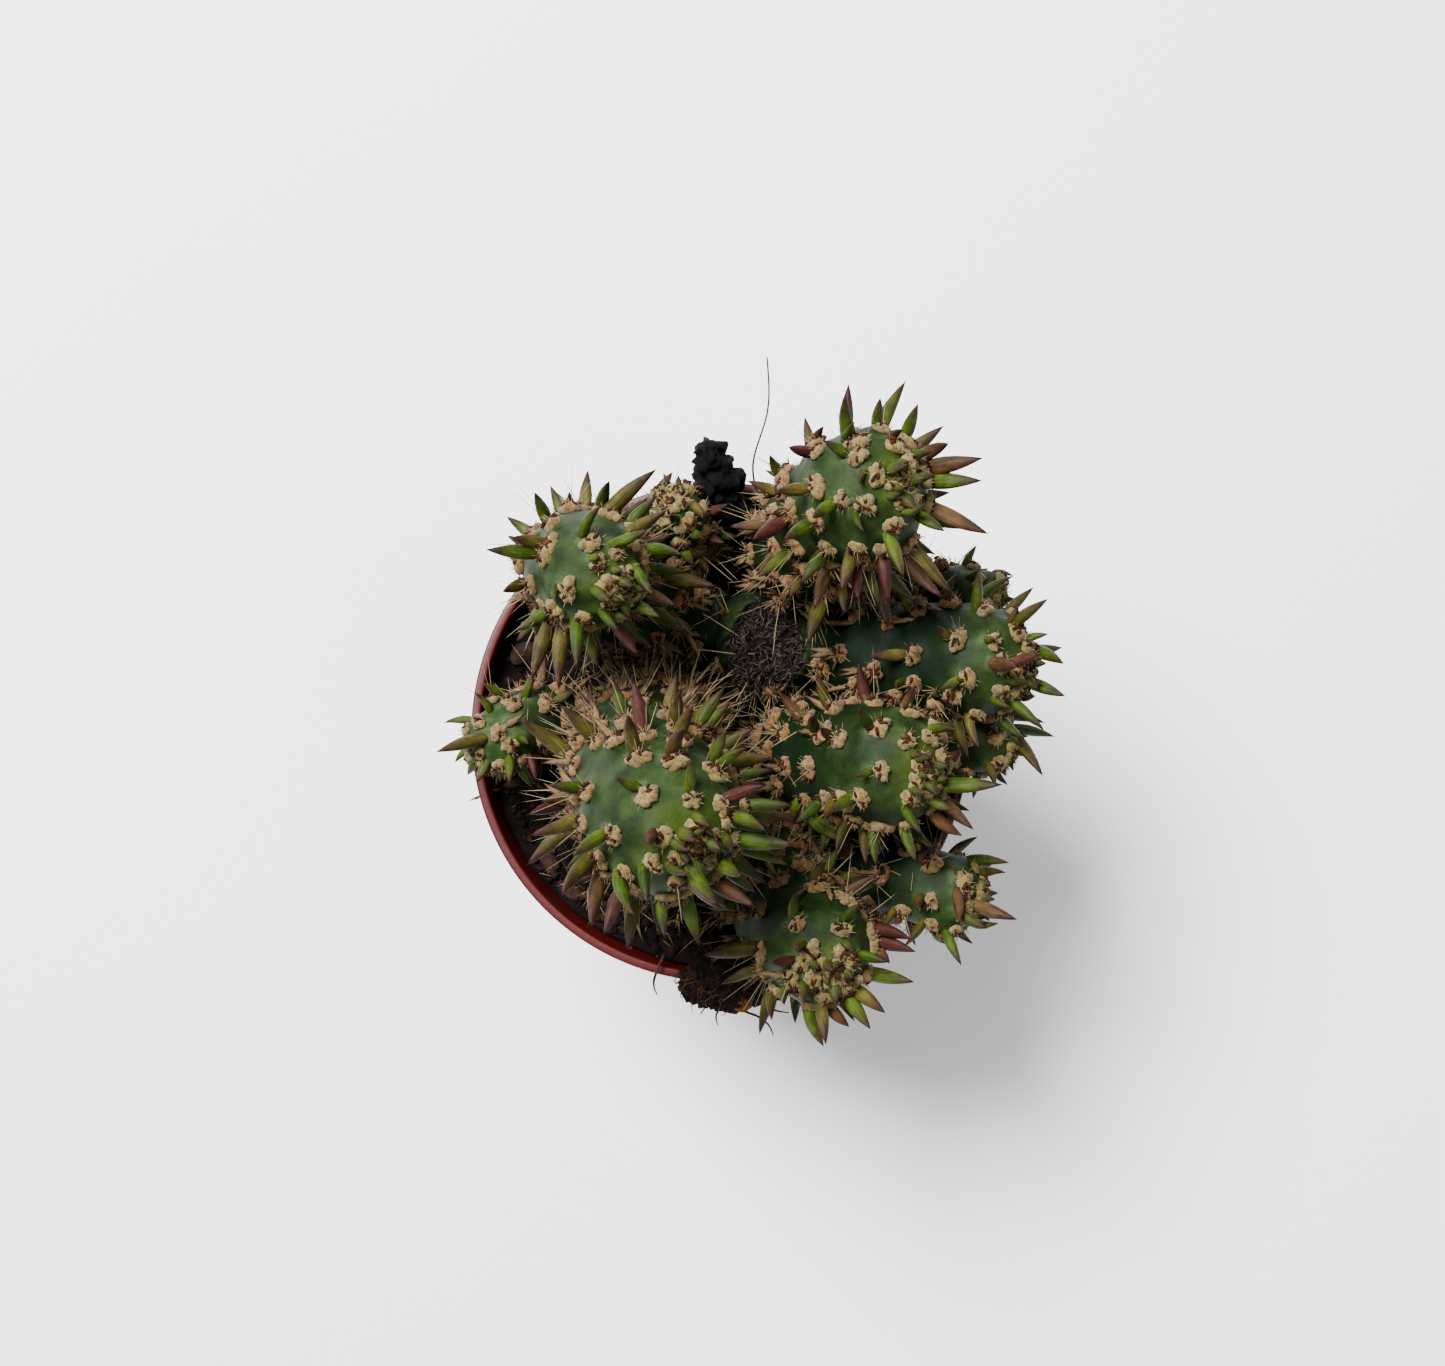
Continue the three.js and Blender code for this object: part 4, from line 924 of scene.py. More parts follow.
def as_mesh(name, bm):
    """A mesh with a bmesh's shape. The bmesh is let go."""
    mesh = bpy.data.meshes.new(name)
    bm.to_mesh(mesh)
    bm.free()
    return mesh


def linked(name, data):
    """A new object in the scene."""
    made = bpy.data.objects.new(name, data)
    bpy.context.scene.collection.objects.link(made)
    return made


def piece(name, bm, material, stands_for=()):
    """Finishes a piece made in millimetres: scaled to metres, smooth, with its material and its body."""
    bmesh.ops.scale(bm, vec=(MM, MM, MM), verts=bm.verts)
    for face in bm.faces:
        face.smooth = True
    mesh = as_mesh(name, bm)
    mesh.materials.append(material)
    made = linked(name, mesh)
    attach(made, "root")
    if stands_for:
        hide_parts(*stands_for)
    return made


def kept(name, bm):
    """Keeps a small shape that is copied many times."""
    for layer in LAYERS:
        if layer not in bm.verts.layers.float:
            bm.verts.layers.float.new(layer)
    side = bm.verts.layers.float["side"]
    front = bm.verts.layers.float["front"]
    for v in bm.verts:
        v[side] = v.co.x
        v[front] = v.co.y
    bmesh.ops.recalc_face_normals(bm, faces=bm.faces)
    return as_mesh(name, bm)


def new_pile():
    """An empty bmesh that copies of kept shapes go into."""
    bm = bmesh.new()
    for layer in LAYERS:
        bm.verts.layers.float.new(layer)
    return bm


def copy_into(bm, shape, matrix, tone=0.5, age=0.0):
    """Adds a copy of a kept shape to a pile, with its own tone and age."""
    copied = shape.copy()
    copied.transform(matrix)
    count = len(copied.vertices)
    copied.attributes["tone"].data.foreach_set("value", [tone] * count)
    copied.attributes["age"].data.foreach_set("value", [age] * count)
    bm.from_mesh(copied)
    bpy.data.meshes.remove(copied)


def stood(place, along, towards, width, height, depth=None):
    """A matrix that stands a shape on a place: its Z along one direction, its X close to another."""
    z = unit(np.asarray(along, float))
    y = unit(np.cross(z, towards))
    x = np.cross(y, z)
    columns = (x * (depth or width), y * width, z * height)
    matrix = Matrix([Vector(c) for c in columns]).transposed().to_4x4()
    matrix.translation = Vector(place)
    return matrix


def leaf_shape(name, bend, twist=0.0, pinch=0.0, sides=8, rings=8):
    """An awl-shaped leaf of unit length and half width, flatter on the side that faces the tip."""
    bm = bmesh.new()
    bmesh.ops.create_uvsphere(bm, u_segments=sides, v_segments=rings, radius=1)
    along = bm.verts.layers.float.new("along")
    foot = -0.18
    for v in bm.verts:
        share = math.acos(max(-1, min(1, -v.co.z))) / math.pi
        h = foot + (1 - foot) * share
        past = max(0, (h - 0.36) / 0.64)
        width = (1 - past) ** 1.02 * (1 + 0.7 * past) if past > 0 else 1 - 1.3 * (0.36 - h) ** 2
        if share < 0.01 or share > 0.99:
            width = 0
        angle = math.atan2(v.co.y, v.co.x) + twist * h
        width *= 1 - pinch * (0.5 + 0.5 * math.cos(3 * angle + 5 * h))
        x = width * math.cos(angle)
        y = width * math.sin(angle)
        v.co = Vector(((x * 0.68 if x > 0 else x * 0.95) + bend * h * h, y, h))
        v[along] = max(0, h)
    return kept(name, bm)


def wool_shape(name, seed):
    """A lumpy felt cushion, hollowed on the side where the leaf stands."""
    bm = bmesh.new()
    bmesh.ops.create_uvsphere(bm, u_segments=9, v_segments=6, radius=1)
    for v in bm.verts:
        lump = 1 + 0.42 * noise.noise(v.co * 1.6 + Vector((seed * 7.1, 0, 0)))
        hollow = 0.3 * max(0, -v.co.x) * max(0, 1 - abs(v.co.y) * 1.4)
        v.co = Vector((v.co.x * 0.78 * lump + hollow, v.co.y * lump, v.co.z * 0.62 * lump - 0.25 * hollow))
    return kept(name, bm)


def lump_shape(name, seed, rough):
    """A small rough lump."""
    bm = bmesh.new()
    bmesh.ops.create_icosphere(bm, subdivisions=1, radius=1)
    for v in bm.verts:
        v.co *= 1 + rough * noise.noise(v.co * 1.3 + Vector((0, seed * 5.3, 0)))
    return kept(name, bm)


def needle_shape(name, sides, rings, bend):
    """A needle of unit length and radius, a little bent."""
    bm = bmesh.new()
    bmesh.ops.create_uvsphere(bm, u_segments=sides, v_segments=rings, radius=1)
    along = bm.verts.layers.float.new("along")
    for v in bm.verts:
        h = math.acos(max(-1, min(1, -v.co.z))) / math.pi
        ring = Vector((v.co.x, v.co.y, 0))
        width = 0 if ring.length < 0.01 else (1 - h) ** 0.6
        v.co = (ring.normalized() * width if width else Vector((0, 0, 0))) + Vector((bend * h * h, 0, h))
        v[along] = h
    return kept(name, bm)


def strands(name, paths, radii, sides=1):
    """Smooth strands, each along its own points, as one closed mesh. radii are at the root and the tip."""
    curve = bpy.data.curves.new(name, "CURVE")
    curve.dimensions = "3D"
    curve.bevel_depth = 1
    curve.bevel_resolution = sides
    curve.use_fill_caps = True
    for path, (root, tip) in zip(paths, radii):
        spline = curve.splines.new("POLY")
        spline.points.add(len(path) - 1)
        for k, (point, target) in enumerate(zip(path, spline.points)):
            target.co = (*point, 1)
            target.radius = root + (tip - root) * k / (len(path) - 1)
    holder = linked(name, curve)
    bpy.context.view_layer.update()
    mesh = bpy.data.meshes.new_from_object(holder.evaluated_get(bpy.context.evaluated_depsgraph_get()))
    bpy.data.objects.remove(holder)
    bpy.data.curves.remove(curve)
    bm = bmesh.new()
    bm.from_mesh(mesh)
    bpy.data.meshes.remove(mesh)
    bmesh.ops.remove_doubles(bm, verts=bm.verts, dist=1e-4)
    bmesh.ops.recalc_face_normals(bm, faces=bm.faces)
    return bm


def smoothed(points, count):
    """A smooth path through a few points."""
    points = np.array(points, float)
    t = np.linspace(0, len(points) - 1, count)
    padded = np.vstack([2 * points[0] - points[1], points, 2 * points[-1] - points[-2]])
    k = np.minimum(t.astype(int), len(points) - 2)
    u = (t - k)[:, None]
    a, b, c, d = padded[k], padded[k + 1], padded[k + 2], padded[k + 3]
    return 0.5 * (2 * b + (c - a) * u + (2 * a - 5 * b + 4 * c - d) * u**2 + (3 * b - a - 3 * c + d) * u**3)


def turned(profile, steps):
    """A profile of (radius, height) points turned round the upright axis."""
    bm = bmesh.new()
    points = [bm.verts.new((r, 0, z)) for r, z in profile]
    edges = [bm.edges.new(pair) for pair in zip(points, points[1:])]
    bmesh.ops.spin(bm, geom=points + edges, cent=(0, 0, 0), axis=(0, 0, 1), angle=2 * math.pi, steps=steps,
                   use_merge=True)
    bmesh.ops.remove_doubles(bm, verts=bm.verts, dist=1e-4)
    bmesh.ops.recalc_face_normals(bm, faces=bm.faces)
    return bm


# Small shapes that are copied many times
LEAF_BENDS = [(0.7, 0.0), (1.6, 0.1), (-0.8, -0.1), (0.1, 0.15), (2.2, 0.2)]
DRIED_BENDS = [(-1.8, 1.2, 0.75), (1.4, -1.6, 0.7), (-2.6, 2.2, 0.8), (0.8, 2.8, 0.7)]
LEAVES = [leaf_shape(f"leaf_{k}", *bends) for k, bends in enumerate(LEAF_BENDS)]
DRIED = [leaf_shape(f"dried_{k}", *bends, sides=7, rings=7) for k, bends in enumerate(DRIED_BENDS)]
WOOLS = [wool_shape(f"wool_{k}", k + 1) for k in range(4)]
PIPS = [lump_shape(f"pip_{k}", k + 1, 0.7) for k in range(2)]
CRUMBS = [lump_shape(f"crumb_{k}", k + 11, 0.9) for k in range(5)]
BRISTLES = [needle_shape(f"bristle_{k}", 3, 3, bend) for k, bend in enumerate((1.0, -1.4, 2.4))]
SPINES = [needle_shape(f"needle_{k}", 4, 5, bend) for k, bend in enumerate((1.5, -2.5, 4.0))]


def age_of(shoot, a):
    """From 0 at the growing tip to 1 where the leaves have long gone."""
    return min(1, max(0, a.down - 3) / (shoot.dome_skin + shoot.leafy + 6))


def cad_leaf_length(shoot, a):
    """How long a leaf of the spiral is in the frame's solids, or 0 where there is none."""
    below = a.down - shoot.dome_skin
    keeps = below < FULL_LEAF or (below < shoot.leafy and chance(shoot.turn, a.i, 10) < KEPT)
    if a.seen or a.i < BUD or not keeps:
        return 0
    grown = min(1, 0.45 + 0.55 * a.i / LEAF_GROWING)
    return (LEAF_LENGTH + LEAF_GAIN * shoot.radius) * grown * (0.86 + 0.32 * chance(shoot.turn, a.i, 2))


def leaf_half(length):
    """Half a leaf's width."""
    return 0.45 + 0.105 * length


def leaf_wish(shoot, a, droop):
    """Where a leaf stands and the way it would point with nothing near it."""
    foot, normal, tipward = shoot.spot(a, TUBERCLE * a.gap - 0.4)
    lean = 0.45 - 0.3 * chance(shoot.turn, a.i, 3) - droop
    return foot, unit(normal + tipward * lean), tipward


def spine_wish(seed, i, normal):
    """The way a spine would point and its length."""
    spread = np.array([chance(seed, i, 4) - 0.5, chance(seed, i, 6) - 0.5, chance(seed, i, 8) - 0.3])
    return unit(normal + 1.1 * spread), SPINE_LENGTH * (0.65 + 0.6 * chance(seed, i, 9))


def cushion_size(shoot, a):
    """An areole's size beside a grown one's."""
    return (0.84 + 0.16 * min(1, a.gap / GROWN_GAP)) * (0.88 + 0.24 * chance(shoot.turn, a.i, 1))


def seen_leaf(a, foot, wished):
    """The direction and length of a leaf whose tip shows at a known pixel."""
    ray = sight_line(*a.tip)
    reach = foot - CAMERA_PLACE
    nearest = reach @ ray
    aside = np.linalg.norm(reach - ray * nearest)
    length = min(LONGEST_LEAF, LEAF_SLANT * aside + 1)
    deep = math.sqrt(max(0, length**2 - aside**2))
    ends = [CAMERA_PLACE + ray * (nearest + way * deep) - foot for way in (-1, 1)]
    return unit(max(ends, key=lambda end: unit(end) @ wished)), length


def place_main_growth():
    """The leaves and spines that the frame's solids have, in the same order and places."""
    for shoot in shoots:
        for a in shoot.areoles:
            if a.tip:
                foot, wished, tipward = leaf_wish(shoot, a, 0)
                wanted, length = seen_leaf(a, foot, wished)
                normal = shoot.spot(a)[1]
                wanted = unit(wanted + normal * max(0, LEAST_RISE - wanted @ normal))
                found = crowd.fit(shoot.name, foot, wanted, tipward, length, leaf_half(length))
                if found:
                    a.leaf = (foot, *found)
    for shoot in shoots:
        for a in shoot.areoles:
            a.spines = []
            length = cad_leaf_length(shoot, a)
            if length > 0:
                foot, wanted, tipward = leaf_wish(shoot, a, 0)
                found = crowd.fit(shoot.name, foot, wanted, tipward, length, leaf_half(length))
                if found:
                    a.leaf = (foot, *found)
            size = cushion_size(shoot, a)
            a.seat = shoot.spot(a, 0.6 * TUBERCLE * a.gap, 1.5 * size)
            a.open = crowd.clear_of_bodies(shoot.name, a.seat[0], a.seat[1], 1, 0.2)
            if a.i % SPINY_EVERY or a.i < BUD or length > 0 or a.leaf:
                continue
            if crowd.clear(shoot.name, a.seat[0], a.seat[1], 1, 0.2):
                wanted, reach = spine_wish(shoot.turn, a.i, a.seat[1])
                found = crowd.fit(shoot.name, a.seat[0], wanted, a.seat[2], reach, SPINE_RADIUS)
                if found:
                    a.spines.append(found)


class StumpAreole:
    """A woolly seat on the cut-back stem, between its side shoots."""

    def __init__(self, i, angle, z):
        outward = np.array([math.cos(angle), math.sin(angle), 0])
        place = np.array([stump_x(z), STUMP["y"], z]) + outward * STUMP["radius"]
        normal = unit(outward + np.array([0, 0, 0.35]))
        self.i = i
        self.seat = (place, normal, np.array([0, 0, 1.0]))
        self.open = crowd.clear("main_stem", place, normal, 2, 0.2)
        self.spines = []


def stump_areoles():
    """The areoles that stand free on the cut-back stem, each with up to two spines."""
    areoles = []
    for i in range(STUMP["areoles"]):
        areole = StumpAreole(i, i * GOLDEN_ANGLE, STUMP["top"] - 2.8 - 0.6 * i)
        if not areole.open:
            continue
        for seed in (STUMP_SEED, STUMP_SEED + 1):
            wanted, reach = spine_wish(seed, i, areole.seat[1])
            found = crowd.fit("main_stem", areole.seat[0], wanted, areole.seat[2], reach, SPINE_RADIUS)
            if found:
                areole.spines.append(found)
        areoles.append(areole)
    return areoles


def crowd_in(shoot, rng):
    """Old areoles between the others, on the sides away from the light: wool, straw and no leaf."""
    taken = np.array([shoot.skin(a.down, a.angle)[0][0] for a in shoot.areoles])
    smooth_side = unit(np.array(SMOOTH_SIDE))
    for k in range(FILLER_TRIES):
        down = rng.uniform(0.75 * shoot.dome_skin, shoot.length - shoot.hidden - 1)
        angle = rng.uniform(0, 2 * math.pi)
        point, normal, _, _ = shoot.skin(down, angle)
        if normal[0] @ smooth_side > SHADED_BELOW:
            continue
        if np.linalg.norm(taken - point, axis=1).min() < FILLED_TO:
            continue
        a = Areole(FIRST_FILLER + k, down, shoot.gap, angle)
        a.spines = []
        a.seat = shoot.spot(a, 0.6 * TUBERCLE * a.gap, 1.2)
        a.open = crowd.clear_of_bodies(shoot.name, a.seat[0], a.seat[1], 1, 0.2)
        if not a.open:
            continue
        taken = np.vstack([taken, point])
        shoot.areoles.append(a)


# The folds and tufts of fluff of a cushion, and the radius of the finest hairs
FOLDS = 5
FLUFF = 9
FINE = 0.1

place_main_growth()
stump_seats = stump_areoles()
filler_rng = np.random.default_rng(FILLER_SEED)
for shoot in shoots:
    crowd_in(shoot, filler_rng)


def skin_piece(shoot):
    """The fine skin of a shoot: rings turned about an axis, then bent to the shoot's line."""
    downs = list(shoot.dome_skin * np.linspace(0, 1, 15) ** 0.9)
    count = int((shoot.length - shoot.dome_skin) / 0.75)
    downs += list(np.linspace(shoot.dome_skin, shoot.length, count + 1)[1:])
    profile = [(0 if k == 0 else 1, -d) for k, d in enumerate(downs)] + [(0, -shoot.length)]
    steps = 72 if shoot.radius > 7 else 48
    bm = turned(profile, steps)
    high = bm.verts.layers.float.new("high")
    age = bm.verts.layers.float.new("age")
    dull = bm.verts.layers.float.new("dull")
    places = np.array([v.co for v in bm.verts])
    on_axis = np.hypot(places[:, 0], places[:, 1]) < 0.5
    down = -places[:, 2]
    angle = np.arctan2(places[:, 1], places[:, 0])
    point, normal, _, radius = shoot.skin(down, angle)
    rise = shoot.rise(down, angle, radius)
    rise[on_axis] = 0
    root = shoot.line.at(0)[0][0]
    for k, v in enumerate(bm.verts):
        if on_axis[k] and down[k] > 1:
            v.co = Vector(root)
            continue
        crease = 0.12 * noise.noise(Vector(point[k]) * 0.55) + 0.05 * noise.noise(Vector(point[k]) * 1.9)
        v.co = Vector(point[k] + normal[k] * (rise[k] + crease * min(1, radius[k])))
        v[high] = min(1, rise[k] / (TUBERCLE * shoot.gap))
        v[age] = min(1, down[k] / shoot.length)
        # Painted shade, growing towards the root and strongest on the shoots that stand in the shade of
        # others
        v[dull] = SHADE_PAINTED_BY_SHOOT.get(shoot.name, SHADE_PAINTED_ELSEWHERE) * smoothstep(v[age], 0.1, 0.42)
    bmesh.ops.recalc_face_normals(bm, faces=bm.faces)
    return piece(f"skin_of_{shoot.name}", bm, SKIN, [shoot.name])


def leaf_age(shoot, a):
    """How far a leaf has dried: as it is seen, or by chance."""
    if a.tint:
        return TINTS[a.tint] + 0.1 * (chance(shoot.turn, a.i, 15) - 0.3)
    if a.i < LEAF_GROWING:
        return 0.0
    return (0.1, 0.1, 0.45, 0.1, 0.8, 0.5, 1.0, 0.2)[int(8 * chance(shoot.turn, a.i, 16))]


def add_wool(wool, tufts, pips, seed, i, seat, size, age):
    """One areole: its folded felt cushion and fluff, the dark scales in it and a tuft of bristles."""
    draw = partial(chance, seed, i)
    place, normal, tipward = seat
    across = np.cross(normal, tipward)
    width = WOOL_SPREAD * CUSHION_RADIUS * size
    middle = 0.86 * width
    copy_into(wool, WOOLS[i % 4], stood(place, normal, tipward, middle, middle, middle), draw(20), age)
    for k in range(FOLDS):
        turn = 2 * math.pi * (k / FOLDS + 0.13 * draw(400 + k))
        out = tipward * math.cos(turn) * 0.7 + across * math.sin(turn)
        fold = width * (0.34 + 0.3 * draw(410 + k))
        foot = place + out * width * (0.3 + 0.36 * draw(420 + k)) + normal * 0.14 * width
        aim = unit(normal + 0.5 * out)
        copy_into(wool, WOOLS[(i + k) % 4], stood(foot, aim, out, 0.8 * fold, fold, 1.25 * fold),
                  draw(430 + k), age)
    for k in range(FLUFF):
        turn = 2 * math.pi * (k / FLUFF + 0.1 * draw(30 + k))
        out = tipward * math.cos(turn) * 0.8 + across * math.sin(turn)
        foot = place + out * width * 0.7 + normal * 0.25 * width
        aim = unit(normal * (0.3 + draw(50 + k)) + out * 0.9)
        length = width * (0.45 + 0.4 * draw(70 + k))
        copy_into(wool, BRISTLES[k % 3], stood(foot, aim, normal, FINE, length), draw(90 + k), age)
    for k in range(3 + int(5 * draw(110))):
        turn = 2 * math.pi * draw(120 + k)
        out = tipward * (math.cos(turn) * 0.6 - 0.1) + across * math.sin(turn)
        foot = place + out * width * (0.3 + 0.42 * draw(125 + k)) + normal * width * 0.5
        dot = 0.2 + 0.18 * draw(130 + k)
        copy_into(pips, PIPS[k % 2], stood(foot, normal + 0.4 * out, out, dot * size, 1.2 * dot * size,
                                           2.1 * dot * size))
    for k in range(int(4 + 16 * age)):
        turn = 2 * math.pi * draw(140 + k)
        spread = 0.25 + (0.75 + 0.8 * age) * draw(160 + k)
        aim = unit(normal + spread * (tipward * math.cos(turn) + across * math.sin(turn)))
        foot = place + normal * 0.3 * width + (aim - normal) * 0.3
        length = (0.9 + 1.7 * draw(180 + k)) * (0.5 + 0.7 * age)
        copy_into(tufts, BRISTLES[k % 3], stood(foot, aim, normal, FINE, length), draw(200 + k), age)


def add_spines(spines, seed, i, areole, owner, wanted_count):
    """The areole's own spines, and more round them where there is room."""
    draw = partial(chance, seed, i)
    foot, normal, tipward = areole.seat
    for k, (direction, length) in enumerate(areole.spines):
        copy_into(spines, SPINES[k % 3], stood(foot, direction, tipward, SPINE_RADIUS * 0.62, length),
                  draw(230 + k))
    across = np.cross(normal, tipward)
    for k in range(wanted_count):
        turn = 2 * math.pi * draw(240 + k)
        spread = 0.2 + 0.7 * draw(250 + k)
        aim = unit(normal + spread * (tipward * math.cos(turn) + across * math.sin(turn)))
        length = SPINE_LENGTH * (0.5 + 0.6 * draw(260 + k))
        if not crowd.clear_of_bodies(owner, foot, aim, length, FINE):
            continue
        copy_into(spines, SPINES[(i + k) % 3], stood(foot, aim, tipward, 0.075, length), draw(270 + k))


def add_leaf(leaves, seed, i, leaf, tipward, age):
    """A fresh or drying leaf."""
    draw = partial(chance, seed, i)
    foot, direction, length = leaf
    half = SLIM * leaf_half(length)
    place = stood(foot, direction, tipward, half, length, half)
    copy_into(leaves, LEAVES[int(5 * draw(40))], place, draw(41), age)


def add_dried(dried, owner, seed, i, seat, reach):
    """A shrivelled leaf that hangs rootward below its areole."""
    draw = partial(chance, seed, i)
    foot, normal, tipward = seat
    across = np.cross(normal, tipward)
    lean = -0.5 - 0.7 * draw(300)
    aim = unit(normal * (0.35 + 0.5 * draw(301)) + tipward * lean + across * (draw(302) - 0.5))
    length = reach * (0.6 + 0.4 * draw(303))
    foot = foot - tipward * 1.2
    if not crowd.clear_of_bodies(owner, foot, aim, length, 0.3):
        return
    half = 0.5 + 0.5 * draw(304)
    place = stood(foot, aim, tipward, half, length, half * 0.8)
    copy_into(dried, DRIED[int(4 * draw(305))], place, draw(306), draw(307))


def dress_shoot(shoot):
    """Everything that grows on a shoot, in one piece for each kind."""
    leaves, dried, wool, tufts, pips, spines = (new_pile() for _ in range(6))
    full = LEAF_LENGTH + LEAF_GAIN * shoot.radius
    for a in shoot.areoles:
        draw = partial(chance, shoot.turn, a.i)
        age = age_of(shoot, a)
        below = a.down - shoot.dome_skin
        if a.leaf is None and a.i >= BUD and below < shoot.leafy + 2 and draw(11) < 0.75:
            length = full * (0.7 + 0.3 * draw(12))
            foot, wanted, tipward = leaf_wish(shoot, a, 0.45)
            found = crowd.fit(shoot.name, foot, wanted, tipward, length, leaf_half(length) * 0.9)
            if found:
                a.leaf = (foot, *found)
        if a.leaf and BUD <= a.i < LEAF_GROWING:
            a.leaf = (*a.leaf[:2], a.leaf[2] * (0.52 + 0.05 * a.i))
        if a.leaf:
            add_leaf(leaves, shoot.turn, a.i, a.leaf, a.seat[2], leaf_age(shoot, a))
        if not a.open:
            continue
        if a.leaf is None and a.i >= BUD and draw(13) < 0.8:
            add_dried(dried, shoot.name, shoot.turn, a.i, a.seat, full * 0.9)
        if age > 0.45 and draw(17) < 0.55:
            add_dried(dried, shoot.name, shoot.turn + 5, a.i, a.seat, full * 0.8)
        add_wool(wool, tufts, pips, shoot.turn, a.i, a.seat, cushion_size(shoot, a), age)
        count = int(3.4 * draw(14)) if age > 0.35 else 0
        add_spines(spines, shoot.turn, a.i, a, shoot.name, count + (1 if age > 0.7 else 0))
    add_bud(shoot, leaves)
    piece(f"leaves_of_{shoot.name}", leaves, LEAF)
    piece(f"wool_of_{shoot.name}", wool, WOOL)
    piece(f"bristles_of_{shoot.name}", tufts, BRISTLE)
    piece(f"scales_of_{shoot.name}", pips, PIP)
    for name, pile, material in (("spines", spines, SPINE), ("dried_leaves", dried, WITHERED)):
        if len(pile.verts):
            piece(f"{name}_of_{shoot.name}", pile, material)
        else:
            pile.free()


def add_bud(shoot, leaves):
    """The closed bud of small leaves at the growing tip."""
    top = shoot.skin(0.01, 0)[0][0]
    axis = shoot.line.at(shoot.line.length)[1][0]
    aside = unit(np.cross(axis, (0.3, 1, 0.2)))
    other = np.cross(axis, aside)
    for k in range(7):
        turn = k * GOLDEN_ANGLE
        out = aside * math.cos(turn) + other * math.sin(turn)
        length = (0.14 + 0.035 * k) * shoot.radius + 0.6
        foot = top + out * (0.15 + 0.05 * k) * shoot.radius * 0.5
        aim = unit(axis + out * (0.1 + 0.09 * k))
        place = stood(foot, aim, axis, 0.28 * length, length)
        copy_into(leaves, LEAVES[k % 4], place, chance(shoot.turn, k, 400), 0)


def pot_piece():
    """The pot: turned from its wall's section with the edges rounded, and drain holes cut in the floor."""
    lip_under = POT_HEIGHT - LIP_HEIGHT
    outside = [
        (0, 0.5), (12, 0.5), (12.6, 0), (FOOT_RADIUS - 1, 0), (FOOT_RADIUS, 1), (FOOT_RADIUS + 0.9, 6),
        (FOOT_RADIUS + 1.3, 6.6), (WALL_TOP_RADIUS - 0.1, WALL_TOP - 1),
        (WALL_TOP_RADIUS + COLLAR_STEP, WALL_TOP + 0.4),
        (RIM_RADIUS - LIP_PROUD, lip_under - 0.3), (RIM_RADIUS, lip_under), (RIM_RADIUS, POT_HEIGHT),
    ]
    inside_heights = [WALL_TOP + 1, WALL_TOP - 0.6, FLOOR + 0.8]
    inside = [(RIM_RADIUS - LIP_WIDTH, POT_HEIGHT)] + [(pot_inner(z), z) for z in inside_heights]
    corners = outside + inside + [(pot_inner(FLOOR) - 0.8, FLOOR), (0, FLOOR)]
    bm = turned(rounded(corners, 0.45), 144)
    made = piece("pot_shell", bm, POT, ["pot"])
    drill = bmesh.new()
    for k in range(DRAIN_HOLES):
        turn = k * 2 * math.pi / DRAIN_HOLES
        spot = Vector((DRAIN_CIRCLE * math.cos(turn), DRAIN_CIRCLE * math.sin(turn), 0)) * MM
        bmesh.ops.create_cone(
            drill, cap_ends=True, segments=40, radius1=DRAIN_RADIUS * MM, radius2=DRAIN_RADIUS * MM,
            depth=8 * FLOOR * MM, matrix=Matrix.Translation(spot))
    cutter = linked("drill", as_mesh("drill", drill))
    cut = made.modifiers.new("drain_holes", "BOOLEAN")
    cut.object = cutter
    cut.operation = "DIFFERENCE"
    cut.solver = "EXACT"
    bpy.context.view_layer.update()
    done = bpy.data.meshes.new_from_object(made.evaluated_get(bpy.context.evaluated_depsgraph_get()))
    made.modifiers.remove(cut)
    made.data = done
    done.set_sharp_from_angle(angle=math.radians(50))
    bpy.data.objects.remove(cutter)


def rounded(corners, radius):
    """The same outline with its corners rounded by short arcs."""
    corners = [Vector(c) for c in corners]
    points = [corners[0]]
    for before, corner, after in zip(corners, corners[1:], corners[2:]):
        back = before - corner
        ahead = after - corner
        reach = min(radius, 0.4 * back.length, 0.4 * ahead.length)
        a = corner + back.normalized() * reach
        b = corner + ahead.normalized() * reach
        for t in (0, 0.25, 0.5, 0.75, 1):
            points.append(a * (1 - t) ** 2 + corner * 2 * t * (1 - t) + b * t * t)
    return [tuple(p) for p in points + [corners[-1]]]


def soil_surface(x, y):
    """The peat's height with its crumbs."""
    rough = noise.fractal(Vector((x, y, 0)) * 0.5, 1.0, 2.0, 4)
    return soil_height(x, y) + 0.55 * rough


def soil_piece():
    """The peat: a bed of rings that fills the pot, and the clump over the front of the rim."""
    foot = FLOOR + SOIL_GAP
    profile = [(0, foot), (pot_inner(foot) - SOIL_GAP - 1, foot)]
    profile += [(pot_inner(WALL_TOP - 1) - SOIL_GAP, WALL_TOP - 1)]
    edge = pot_inner(SOIL_LEVEL) - SOIL_GAP
    profile += [(r, SOIL_LEVEL) for r in np.linspace(edge, 0, 62)]
    bm = turned(profile, 150)
    for v in bm.verts:
        if v.co.z > SOIL_LEVEL - 0.1:
            v.co.z = soil_surface(v.co.x, v.co.y)
    clump = bmesh.new()
    bmesh.ops.create_icosphere(clump, subdivisions=5, radius=1)
    for v in clump.verts:
        swell = 1 + 0.16 * math.sin(3.1 * v.co.x + 1.3)
        swell += 0.13 * math.sin(4.3 * v.co.y + 2.6) * math.cos(3.7 * v.co.z)
        rough = 1 + 0.1 * noise.fractal(v.co * 3, 1.0, 2.0, 4)
        v.co *= swell * rough
        v.co.x = v.co.x * SPILL["length"] + SPILL["x"]
        v.co.y = v.co.y * SPILL["width"] + SPILL["y"]
        v.co.z = max(v.co.z * SPILL["height"] + POT_HEIGHT + 1.6, POT_HEIGHT + 0.1)
    bm.from_mesh(as_mesh("clump", clump))
    return piece("peat_bed", bm, PEAT, ["soil"])


